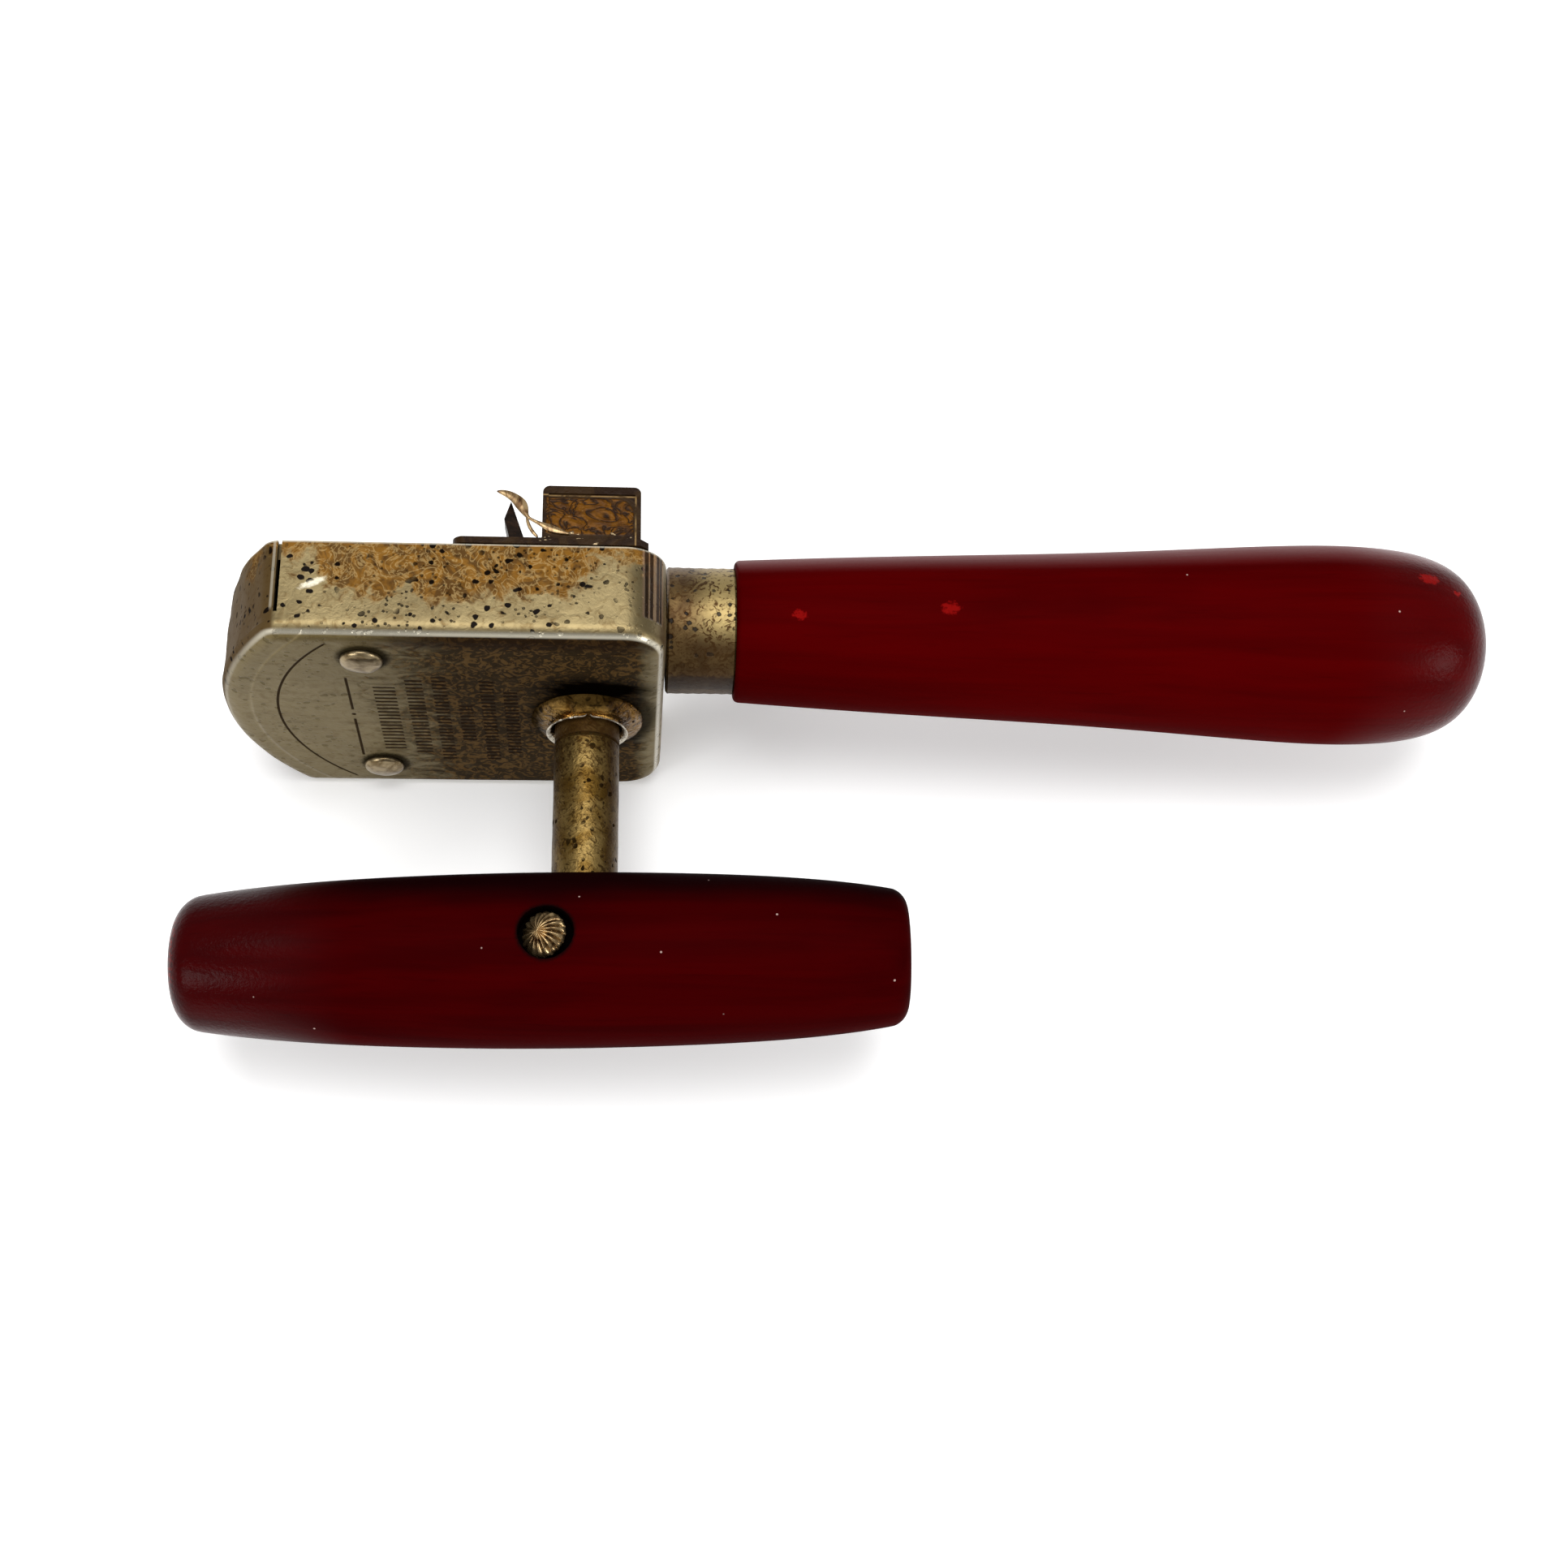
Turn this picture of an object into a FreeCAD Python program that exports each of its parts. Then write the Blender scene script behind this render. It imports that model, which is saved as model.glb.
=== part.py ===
import FreeCAD, Part
import math
import operator
import os
import Sketcher

# Hand-crank can opener. Millimetres, +Z up.
# The row's origin is on the case's lower side wall, straight below the crank's axis and midway
# between the case's face and back. X runs along the long handle, and Y from the face to the back.
# Each sub-part is drawn in the crank's frame: X = 0 and Z = 0 on the crank's axis, Y = 0 on the
# case's open back. The placements then lift everything into the row's frame.

Vector = FreeCAD.Vector

DIMENSIONS = {
    # case
    "case_right": 11.1,
    "case_length": 63.8,
    "case_half_width": 25.3,
    "case_depth": 14.6,
    "case_wall": 1.2,
    "end_arc_radius": 40.0,
    "end_corner_radius": 3.0,
    "corner_radius": 6.0,
    "face_fillet": 2.3,
    "slit_x": -42.3,
    "slit_width": 0.8,
    "slit_depth": 11.1,
    # frame plate and its tang
    "plate_thickness": 2.5,
    "plate_gap": 0.1,
    "tang_half_width": 4.0,
    "tang_taper_x": 66.0,
    "tang_end_x": 74.0,
    "tang_tip_half_width": 1.5,
    "notch_clearance": 0.3,
    # ferrule and long handle
    "ferrule_gap": 0.4,
    "ferrule_end_x": 21.7,
    "ferrule_radius": 9.525,
    "ferrule_wall": 0.9,
    "handle_length": 115.15,
    "handle_bulb_radius": 15.2,
    "handle_neck_radius": 10.7,
    "handle_edge_radius": 0.8,
    # case rivets
    "rivet_x": -31.2,
    "rivet_z": 17.8,
    "rivet_shank_radius": 1.75,
    "rivet_head_radius": 3.0,
    "rivet_rim": 0.4,
    "rivet_dome": 0.9,
    "rivet_post_radius": 3.2,
    # crank
    "shaft_radius": 4.7625,
    "shaft_front_y": -57.5,
    "shaft_shoulder_y": -11.8,
    "shaft_chamfer": 0.5,
    "journal_radius": 3.0,
    "journal_end_y": 1.3,
    "running_clearance": 0.05,
    "bushing_wall": 1.65,
    "bushing_reach": 3.45,
    "bushing_flange": 0.8,
    "collar_rim": 0.5,
    "collar_waist_wall": 1.35,
    "collar_lip_wall": 0.9,
    "collar_height": 2.7,
    "retainer_radius": 5.0,
    "retainer_thickness": 0.8,
    "behind_gap": 0.1,
    # cross grip and its pin
    "crank_rest_angle": 2.6,
    "grip_x": -5.43,
    "grip_y": -52.3,
    "grip_half_length": 51.07,
    "grip_radius": 12.4,
    "grip_left_round": 4.2,
    "grip_right_round": 2.3,
    "pin_tilt": 24.0,
    "pin_radius": 1.6,
    "pin_depth": 9.0,
    "pin_seat": 11.3,
    "pin_sink_radius": 4.2,
    "pin_head_radius": 3.25,
    "pin_head_rim": 0.7,
    "pin_head_dome": 1.7,
    # gears
    "gear_module": 1.0,
    "pinion_teeth": 12,
    "gear_teeth": 16,
    "gear_front_y": -10.6,
    "gear_width": 5.2,
    "pinion_width": 6.8,
    "spacer_radius": 4.6,
    # feed wheel and its shaft
    "feed_shaft_radius": 2.8,
    "feed_head_radius": 4.2,
    "feed_head": 1.4,
    "feed_seat_radius": 2.2,
    "feed_end_y": 8.8,
    "feed_bush_radius": 4.5,
    "feed_bush_front_y": -5.2,
    "feed_bush_end_y": 1.7,
    "bush_flange_radius": 6.0,
    "bush_flange": 1.2,
    "wheel_radius": 7.5,
    "wheel_front_y": 1.8,
    "wheel_width": 4.0,
    "wheel_notches": 26,
    "notch_depth": 0.75,
    "notch_half_width": 0.62,
    "washer_radius": 4.2,
    "washer_thickness": 0.7,
    "nut_half_flats": 3.5,
    "nut_thickness": 1.8,
    # jaw
    "pivot_x": -14.5,
    "pivot_z": 12.0,
    "pivot_head_radius": 4.2,
    "pivot_head": 1.4,
    "pivot_end_radius": 2.0,
    "jaw_thickness": 1.0,
    "jaw_left": -18.8,
    "jaw_right": 8.5,
    "jaw_corner": 1.5,
    "jaw_lobe_right": -9.2,
    "jaw_lobe_bottom": 7.0,
    "jaw_arm_gap": 0.5,
    "shelf_left": -6.4,
    "shelf_right": 7.4,
    "shelf_y": 9.5,
    "shelf_thickness": 1.1,
    "shelf_band": 0.8,
    "shelf_far_band": 1.2,
    "shelf_recess": 0.25,
    "shelf_corner": 1.0,
    "lip_thickness": 1.1,
    "lip_height": 4.5,
    # knife and the leaf beside it
    "knife_left": -14.6,
    "knife_right": -8.6,
    "knife_bottom": 16.3,
    "knife_top": 22.2,
    "knife_foot": 1.2,
    "fang_tip_y": 7.8,
    "fang_bottom": 18.6,
    "fang_top": 23.6,
    "knife_rivet_x": -13.2,
    "knife_rivet_radius": 0.9,
    "knife_rivet_head": 1.4,
    "knife_rivet_high": 20.6,
    "knife_rivet_pitch": 2.8,
    "leaf_thickness": 0.4,
    # lever and spring inside the case
    "lever_thickness": 2.3,
    "lever_radius": 4.0,
    "lever_length": 19.0,
    "lever_top": 2.2,
    "lever_bottom": 3.0,
    "jaw_bush_radius": 4.0,
    "jaw_bush_flange_radius": 5.0,
    "spring_x": -25.0,
    "spring_radius": 1.8,
    "spring_wire": 0.35,
    "spring_turns": 7,
    "seat_z": -4.0,
    "seat_half_width": 3.0,
    "seat_thickness": 1.2,
    "seat_foot": 7.0,
    "guide_radius": 1.2,
    "guide_length": 4.0,
}

# Control points of the turned outlines, as shares of the length and of the largest radius.
HANDLE_CURVE = ((0.2, 0.79), (0.455, 0.845), (0.712, 0.996), (0.858, 1.022), (0.978, 0.851), (1.0, 0.24))
GRIP_CURVE = ((-1.0, 0.72), (-0.81, 0.875), (-0.29, 1.0), (0.29, 1.005), (0.81, 0.914), (1.0, 0.75))

OPERATIONS = {"+": operator.add, "-": operator.sub, "*": operator.mul, "/": operator.truediv}


class Size:
    """A number that remembers the sheet expression it comes from, so it can be bound as well as used."""

    def __init__(self, value, text):
        self.value = value
        self.text = text

    def __add__(self, other):
        return combined(self, "+", other)

    def __radd__(self, other):
        return combined(other, "+", self)

    def __sub__(self, other):
        return combined(self, "-", other)

    def __rsub__(self, other):
        return combined(other, "-", self)

    def __mul__(self, other):
        return combined(self, "*", other)

    def __rmul__(self, other):
        return combined(other, "*", self)

    def __truediv__(self, other):
        return combined(self, "/", other)

    def __rtruediv__(self, other):
        return combined(other, "/", self)

    def __neg__(self):
        return combined(0, "-", self)


def as_size(number):
    if isinstance(number, Size):
        return number
    return Size(float(number), "%.6f" % number)


def combined(left, sign, right):
    left = as_size(left)
    right = as_size(right)
    value = OPERATIONS[sign](left.value, right.value)
    return Size(value, "(%s %s %s)" % (left.text, sign, right.text))


def square_root(size):
    return Size(math.sqrt(size.value), "sqrt(%s)" % size.text)


class Dimensions:
    """Reads the sheet: dims.case_depth is the cell with that alias, as a Size."""

    def __init__(self, sheet):
        self.sheet = sheet

    def __getattr__(self, alias):
        return Size(float(self.sheet.get(alias)), "%s.%s" % (self.sheet.Name, alias))


def write_sheet(doc):
    sheet = doc.addObject("Spreadsheet::Sheet", "dims")
    for row, (alias, value) in enumerate(DIMENSIONS.items(), start=1):
        sheet.set("A%d" % row, alias)
        sheet.set("B%d" % row, str(value))
        sheet.setAlias("B%d" % row, alias)
    doc.recompute()
    return Dimensions(sheet)


doc = FreeCAD.newDocument("can_opener")
dims = write_sheet(doc)


# ---------------------------------------------------------------- drawing helpers


def bind(target, name, size):
    target.setExpression(name, as_size(size).text)


def new_body(label, x=0.0, y=0.0, z=0.0):
    """A body whose own frame sits at x, y, z in the crank's frame."""
    body = doc.addObject("PartDesign::Body", label)
    body.Label = label
    body.AllowCompound = True
    bind(body, "Placement.Base.x", as_size(x))
    bind(body, "Placement.Base.y", dims.case_depth / 2 + y)
    bind(body, "Placement.Base.z", dims.case_half_width + z)
    return body


def origin_feature(body, role):
    return [feature for feature in body.Origin.OriginFeatures if feature.Role == role][0]


def new_sketch(body, name, role, height=0.0):
    """A sketch on one of the body's origin planes, moved along the plane's normal by height."""
    sketch = body.newObject("Sketcher::SketchObject", body.Label + "_" + name)
    sketch.AttachmentSupport = [(origin_feature(body, role), "")]
    sketch.MapMode = "FlatFace"
    bind(sketch, "AttachmentOffset.Base.z", height)
    return sketch


def constrain(sketch, kind, *where_and_size):
    """Add a constraint whose last argument is a Size, and bind it."""
    size = as_size(where_and_size[-1])
    index = sketch.addConstraint(Sketcher.Constraint(kind, *where_and_size[:-1], size.value))
    sketch.setExpression("Constraints[%d]" % index, size.text)


def fix_point(sketch, geometry, point, x, y):
    constrain(sketch, "DistanceX", geometry, point, x)
    constrain(sketch, "DistanceY", geometry, point, y)


def arc_between(start, end, radius):
    """The shorter arc from start to end. A positive radius turns left, a negative one turns right."""
    chord = end - start
    reach = abs(radius)
    height = math.sqrt(max(reach ** 2 - (chord.Length / 2) ** 2, 0.0))
    left = Vector(-chord.y, chord.x, 0).normalize()
    centre = (start + end) / 2 + left * math.copysign(height, radius)
    circle = Part.Circle(centre, Vector(0, 0, 1), reach)
    first, last = (start, end) if radius > 0 else (end, start)
    return Part.ArcOfCircle(circle, circle.parameter(first), circle.parameter(last))


def draw_outline(sketch, corners):
    """Draw a closed outline. A corner is (x, y), or (x, y, radius) when the side that leaves it is an arc."""
    spots = [Vector(as_size(corner[0]).value, as_size(corner[1]).value, 0) for corner in corners]
    sides = []
    for number, corner in enumerate(corners):
        start = spots[number]
        end = spots[(number + 1) % len(spots)]
        if len(corner) == 2:
            side = sketch.addGeometry(Part.LineSegment(start, end))
            sides.append((side, 1, 2))
        else:
            radius = as_size(corner[2])
            side = sketch.addGeometry(arc_between(start, end, radius.value))
            sides.append((side, 1, 2) if radius.value > 0 else (side, 2, 1))
            constrain(sketch, "Radius", side, radius if radius.value > 0 else -radius)
    for number, (side, start_point, _) in enumerate(sides):
        fix_point(sketch, side, start_point, corners[number][0], corners[number][1])
        before, _, before_end = sides[number - 1]
        sketch.addConstraint(Sketcher.Constraint("Coincident", before, before_end, side, start_point))


def draw_circle(sketch, x, y, radius):
    x, y, radius = as_size(x), as_size(y), as_size(radius)
    circle = sketch.addGeometry(Part.Circle(Vector(x.value, y.value, 0), Vector(0, 0, 1), radius.value))
    fix_point(sketch, circle, 3, x, y)
    constrain(sketch, "Radius", circle, radius)


def draw_curve(sketch, poles):
    """Draw a smooth curve by its control points and return its geometry number."""
    spots = [Vector(as_size(x).value, as_size(y).value, 0) for x, y in poles]
    curve = Part.BSplineCurve()
    curve.buildFromPoles(spots)
    handles = [
        sketch.addGeometry(Part.Circle(spot, Vector(0, 0, 1), 1.0), True) for spot in spots
    ]
    number = sketch.addGeometry(curve)
    for handle in handles:
        sketch.addConstraint(Sketcher.Constraint("Weight", handle, 1.0))
    for place, handle in enumerate(handles):
        alignment = "InternalAlignment:Sketcher::BSplineControlPoint"
        sketch.addConstraint(Sketcher.Constraint(alignment, handle, 3, number, place))
    for handle, (x, y) in zip(handles, poles):
        fix_point(sketch, handle, 3, x, y)
    return number


def close_curve(sketch, curve, corners):
    """Join a curve's end back to its start with straight sides through the corners between them."""
    start = sketch.getPoint(curve, 1)
    end = sketch.getPoint(curve, 2)
    spots = [Vector(as_size(x).value, as_size(y).value, 0) for x, y in corners]
    path = [end] + spots + [start]
    before, before_point = curve, 2
    for number in range(len(path) - 1):
        side = sketch.addGeometry(Part.LineSegment(path[number], path[number + 1]))
        sketch.addConstraint(Sketcher.Constraint("Coincident", before, before_point, side, 1))
        if number < len(corners):
            fix_point(sketch, side, 2, *corners[number])
        before, before_point = side, 2
    sketch.addConstraint(Sketcher.Constraint("Coincident", before, 2, curve, 1))


# ---------------------------------------------------------------- feature helpers


def pad(body, sketch, length):
    feature = body.newObject("PartDesign::Pad", sketch.Name + "_pad")
    feature.Profile = sketch
    bind(feature, "Length", length)
    return feature


def pocket(body, sketch, length):
    """Cut against the sketch's normal, which is towards the back for sketches on the XZ plane."""
    feature = body.newObject("PartDesign::Pocket", sketch.Name + "_pocket")
    feature.Profile = sketch
    bind(feature, "Length", length)
    return feature


def pocket_through(body, sketch):
    feature = body.newObject("PartDesign::Pocket", sketch.Name + "_pocket")
    feature.Profile = sketch
    feature.Type = "ThroughAll"
    return feature


def revolve(body, sketch, axis="H_Axis"):
    feature = body.newObject("PartDesign::Revolution", sketch.Name + "_turned")
    feature.Profile = sketch
    feature.ReferenceAxis = (sketch, [axis])
    feature.Angle = 360
    return feature


def repeat_around(body, feature, sketch, count):
    pattern = body.newObject("PartDesign::PolarPattern", feature.Name + "_around")
    pattern.Originals = [feature]
    pattern.Axis = (sketch, ["N_Axis"])
    pattern.Angle = 360
    bind(pattern, "Occurrences", count)
    body.Tip = pattern


def repeat_down(body, feature, pitch):
    """A second copy of the feature, lower by pitch."""
    pattern = body.newObject("PartDesign::LinearPattern", feature.Name + "_twice")
    pattern.Originals = [feature]
    pattern.Direction = (origin_feature(body, "Z_Axis"), [""])
    pattern.Reversed = True
    bind(pattern, "Length", pitch)
    pattern.Occurrences = 2
    body.Tip = pattern


def block(body, name, kind, low, high):
    """Add (Additive) or cut (Subtractive) a box given by two opposite corners."""
    feature = body.newObject("PartDesign::%sBox" % kind, body.Label + "_" + name)
    for side, axis, first, last in zip(("Length", "Width", "Height"), "xyz", low, high):
        bind(feature, "Placement.Base." + axis, first)
        bind(feature, side, as_size(last) - first)
    return feature


def round_edges(body, feature, radius, chosen):
    """Round the feature's edges that the chosen test accepts."""
    doc.recompute()
    names = [
        "Edge%d" % number for number, edge in enumerate(feature.Shape.Edges, start=1) if chosen(edge)
    ]
    fillet = body.newObject("PartDesign::Fillet", feature.Name + "_round")
    fillet.Base = (feature, names)
    bind(fillet, "Radius", radius)
    return fillet


def near(first, second):
    return abs(first - second) < 0.01


def turned_part(label, profile, x=0.0, z=0.0):
    """A part turned about a line along Y: the profile is a list of (y, radius) corners."""
    body = new_body(label, x, 0.0, z)
    sketch = new_sketch(body, "profile", "YZ_Plane")
    draw_outline(sketch, profile)
    revolve(body, sketch)
    return body


def sheet_part(label, outline, holes, back_y, thickness, x=0.0, z=0.0):
    """A flat part with its back at back_y: an outline in X and Z, round holes, and a thickness."""
    body = new_body(label, x, 0.0, z)
    sketch = new_sketch(body, "outline", "XZ_Plane", -as_size(back_y))
    if outline:
        draw_outline(sketch, outline)
    for hole in holes:
        draw_circle(sketch, *hole)
    pad(body, sketch, thickness)
    return body


def rectangle(left, bottom, right, top):
    return [(left, bottom), (right, bottom), (right, top), (left, top)]


# ---------------------------------------------------------------- places shared by several parts

feed_z = dims.gear_module * (dims.pinion_teeth + dims.gear_teeth) / 2
case_left = dims.case_right - dims.case_length
end_arc_x = case_left + dims.end_arc_radius
face_inside_y = dims.case_wall - dims.case_depth
handle_start_x = dims.ferrule_end_x
ferrule_start_x = dims.case_right + dims.ferrule_gap
jaw_front_y = dims.behind_gap
jaw_back_y = jaw_front_y + dims.jaw_thickness
lever_back_y = -dims.plate_thickness - dims.bush_flange - dims.behind_gap
spring_y = lever_back_y - dims.lever_thickness / 2
lever_low_z = dims.pivot_z - dims.lever_bottom


def case_outline(inset, right_side=()):
    """The case's outline drawn clockwise from its top left corner, moved inwards by inset."""
    arc = dims.end_arc_radius - inset
    top = dims.case_half_width - inset
    right = dims.case_right - inset
    bend = inset - dims.corner_radius
    straight = dims.case_half_width - dims.corner_radius
    left = end_arc_x - square_root(arc * arc - top * top)
    return [
        (left, top),
        (dims.case_right - dims.corner_radius, top, bend),
        (right, straight),
        *right_side,
        (right, -straight, bend),
        (dims.case_right - dims.corner_radius, -top),
        (left, -top, -arc),
    ]


# ---------------------------------------------------------------- the fixed body


def gear_case():
    """The pressed shell: open at the back, rounded along the face, slit at the arched end."""
    body = new_body("gear_case")
    outline = new_sketch(body, "outline", "XZ_Plane")
    draw_outline(outline, case_outline(as_size(0)))
    shell = pad(body, outline, dims.case_depth)
    top = dims.case_half_width.value
    left = end_arc_x.value

    def is_end_corner(edge):
        middle = edge.BoundBox.Center
        return near(edge.BoundBox.YLength, dims.case_depth.value) and near(abs(middle.z), top) and middle.x < left

    shell = round_edges(body, shell, dims.end_corner_radius, is_end_corner)
    shell = round_edges(
        body, shell, dims.face_fillet, lambda edge: near(edge.BoundBox.YMax, -dims.case_depth.value)
    )
    cavity = new_sketch(body, "cavity", "XZ_Plane", -face_inside_y)
    draw_outline(cavity, case_outline(dims.case_wall))
    pocket(body, cavity, -face_inside_y)
    holes = new_sketch(body, "holes", "XZ_Plane", dims.case_depth)
    draw_circle(holes, 0, 0, dims.shaft_radius + dims.bushing_wall)
    for side in (1, -1):
        draw_circle(holes, dims.rivet_x, dims.rivet_z * side, dims.rivet_shank_radius)
    pocket(body, holes, dims.case_wall * 2)
    slits = new_sketch(body, "slits", "XZ_Plane", dims.slit_depth)
    for side in (1, -1):
        inner = (dims.case_half_width - dims.case_wall * 2) * side
        outer = (dims.case_half_width + dims.case_wall) * side
        low, high = (inner, outer) if side > 0 else (outer, inner)
        half = dims.slit_width / 2
        draw_outline(slits, rectangle(dims.slit_x - half, low, dims.slit_x + half, high))
    pocket(body, slits, dims.slit_depth)
    depth = dims.plate_thickness + dims.notch_clearance
    half = dims.tang_half_width + dims.notch_clearance
    notch = new_sketch(body, "tang_notch", "XZ_Plane", depth)
    right = dims.case_right + dims.case_wall
    draw_outline(notch, rectangle(dims.case_right - dims.case_wall * 2, -half, right, half))
    pocket(body, notch, depth)
    return body


def frame_plate():
    """The plate that closes the case, with the tang that runs on into the long handle."""
    inset = dims.case_wall + dims.plate_gap
    right = dims.case_right - inset
    tang = [
        (right, dims.tang_half_width),
        (dims.tang_taper_x, dims.tang_half_width),
        (dims.tang_end_x, dims.tang_tip_half_width),
        (dims.tang_end_x, -dims.tang_tip_half_width),
        (dims.tang_taper_x, -dims.tang_half_width),
        (right, -dims.tang_half_width),
    ]
    holes = [
        (0, 0, dims.journal_radius + dims.running_clearance),
        (0, feed_z, dims.feed_bush_radius),
        (dims.pivot_x, dims.pivot_z, dims.jaw_bush_radius),
        (dims.rivet_x, dims.rivet_z, dims.rivet_shank_radius),
        (dims.rivet_x, -dims.rivet_z, dims.rivet_shank_radius),
    ]
    return sheet_part("frame_plate", case_outline(inset, tang), holes, 0, dims.plate_thickness)


def ferrule():
    """The closed sleeve over the handle's tenon, slotted for the tang."""
    body = new_body("ferrule")
    inside = dims.ferrule_radius - dims.ferrule_wall
    bottom = ferrule_start_x + dims.ferrule_wall
    sketch = new_sketch(body, "profile", "XZ_Plane")
    draw_outline(sketch, [
        (ferrule_start_x, 0),
        (bottom, 0),
        (bottom, inside),
        (dims.ferrule_end_x, inside),
        (dims.ferrule_end_x, dims.ferrule_radius),
        (ferrule_start_x, dims.ferrule_radius),
    ])
    revolve(body, sketch)
    low = (ferrule_start_x - 1, -dims.plate_thickness, -dims.tang_half_width)
    high = (bottom + 1, 0, dims.tang_half_width)
    block(body, "slot", "Subtractive", low, high)
    return body


def long_handle():
    """The long turned handle: tenon, rounded neck, slow swell and rounded bulb, slotted for the tang."""
    body = new_body("long_handle")
    sketch = new_sketch(body, "profile", "XZ_Plane")
    edge = dims.handle_edge_radius
    tenon_x = ferrule_start_x + dims.ferrule_wall
    tenon_radius = dims.ferrule_radius - dims.ferrule_wall
    neck = (handle_start_x + edge, dims.handle_neck_radius)
    poles = [neck]
    for share, radius in HANDLE_CURVE:
        poles.append((handle_start_x + dims.handle_length * share, dims.handle_bulb_radius * radius))
    poles.append((handle_start_x + dims.handle_length, 0))
    curve = draw_curve(sketch, poles)
    close_curve(sketch, curve, [
        (tenon_x, 0),
        (tenon_x, tenon_radius),
        (handle_start_x, tenon_radius),
        (handle_start_x, dims.handle_neck_radius - edge),
    ])
    revolve(body, sketch)
    low = (tenon_x - 1, -dims.plate_thickness, -dims.tang_half_width)
    high = (dims.tang_end_x, 0, dims.tang_half_width)
    block(body, "tang_slot", "Subtractive", low, high)
    return body


def case_rivets():
    """Two shouldered rivets: domed head on the face, post inside the case, tail through the plate."""
    body = new_body("case_rivets", dims.rivet_x, 0.0, dims.rivet_z)
    shank = dims.rivet_shank_radius
    head_y = -dims.case_depth - dims.rivet_rim
    dome_radius = (dims.rivet_head_radius * dims.rivet_head_radius / dims.rivet_dome + dims.rivet_dome) / 2
    sketch = new_sketch(body, "profile", "YZ_Plane")
    draw_outline(sketch, [
        (0, 0),
        (0, shank),
        (-dims.plate_thickness, shank),
        (-dims.plate_thickness, dims.rivet_post_radius),
        (face_inside_y, dims.rivet_post_radius),
        (face_inside_y, shank),
        (-dims.case_depth, shank),
        (-dims.case_depth, dims.rivet_head_radius),
        (head_y, dims.rivet_head_radius, dome_radius),
        (head_y - dims.rivet_dome, 0),
    ])
    repeat_down(body, revolve(body, sketch), dims.rivet_z * 2)
    return body


def crank_bushing():
    """The crank's bearing in the face: a flange inside, and outside a flared collar with a thin lip."""
    bore = dims.shaft_radius + dims.running_clearance
    seat = dims.shaft_radius + dims.bushing_wall
    wide = dims.shaft_radius + dims.bushing_reach
    waist = dims.shaft_radius + dims.collar_waist_wall
    lip = dims.shaft_radius + dims.collar_lip_wall
    flange_y = face_inside_y + dims.bushing_flange
    rim_y = -dims.case_depth - dims.collar_rim
    lip_y = -dims.case_depth - dims.collar_height
    waist_y = lip_y + dims.collar_height / 4
    return turned_part("crank_bushing", [
        (flange_y, bore),
        (flange_y, wide),
        (face_inside_y, wide),
        (face_inside_y, seat),
        (-dims.case_depth, seat),
        (-dims.case_depth, wide),
        (rim_y, wide, wide - waist),
        (waist_y, waist),
        (lip_y, lip),
        (lip_y, bore),
    ])


def flanged_bushing(label, x, z, radius, flange_radius, bore, front_y, end_y):
    """A bearing in the frame plate, with its flange against the plate's inner side."""
    flange_y = -dims.plate_thickness - dims.bush_flange
    profile = [
        (end_y, bore),
        (end_y, radius),
        (-dims.plate_thickness, radius),
        (-dims.plate_thickness, flange_radius),
        (flange_y, flange_radius),
    ]
    if front_y is not None:
        profile += [(flange_y, radius), (front_y, radius), (front_y, bore)]
    else:
        profile += [(flange_y, bore)]
    return turned_part(label, profile, x, z)


def feed_bushing():
    bore = dims.feed_shaft_radius + dims.running_clearance
    return flanged_bushing(
        "feed_bushing", 0.0, feed_z, dims.feed_bush_radius, dims.bush_flange_radius, bore,
        dims.feed_bush_front_y, dims.feed_bush_end_y,
    )


def jaw_bushing():
    bore = dims.journal_radius + dims.running_clearance
    return flanged_bushing(
        "jaw_bushing", dims.pivot_x, dims.pivot_z, dims.jaw_bush_radius, dims.jaw_bush_flange_radius, bore,
        None, 0,
    )


def spring_seat():
    """The bent tab on the plate's inner side that the jaw spring stands on, with its guide peg."""
    body = new_body("spring_seat", dims.spring_x, 0.0, dims.seat_z)
    half = dims.seat_half_width
    foot_y = -dims.plate_thickness - dims.seat_thickness
    block(body, "foot", "Additive", (-half, foot_y, -dims.seat_foot), (half, -dims.plate_thickness, 0))
    front_y = spring_y - dims.seat_half_width
    block(body, "tab", "Additive", (-half, front_y, -dims.seat_thickness), (half, -dims.plate_thickness, 0))
    peg = body.newObject("PartDesign::AdditiveCylinder", "spring_seat_peg")
    bind(peg, "Radius", dims.guide_radius)
    bind(peg, "Height", dims.guide_length + dims.seat_thickness)
    bind(peg, "Placement.Base.y", spring_y)
    bind(peg, "Placement.Base.z", -dims.seat_thickness)
    return body


def jaw_spring():
    """The coil between the seat and the lever."""
    wire = dims.spring_wire
    body = new_body("jaw_spring", dims.spring_x, spring_y, dims.seat_z + wire * 1.1)
    sketch = new_sketch(body, "wire", "XZ_Plane")
    draw_circle(sketch, dims.spring_radius, 0, wire)
    height = lever_low_z - dims.seat_z - wire * 2.2
    coil = body.newObject("PartDesign::AdditiveHelix", "jaw_spring_coil")
    coil.Profile = sketch
    coil.ReferenceAxis = (sketch, ["V_Axis"])
    coil.Mode = "pitch-height-angle"
    bind(coil, "Height", height)
    bind(coil, "Pitch", height / dims.spring_turns)
    return body


# ---------------------------------------------------------------- the crank


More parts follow.
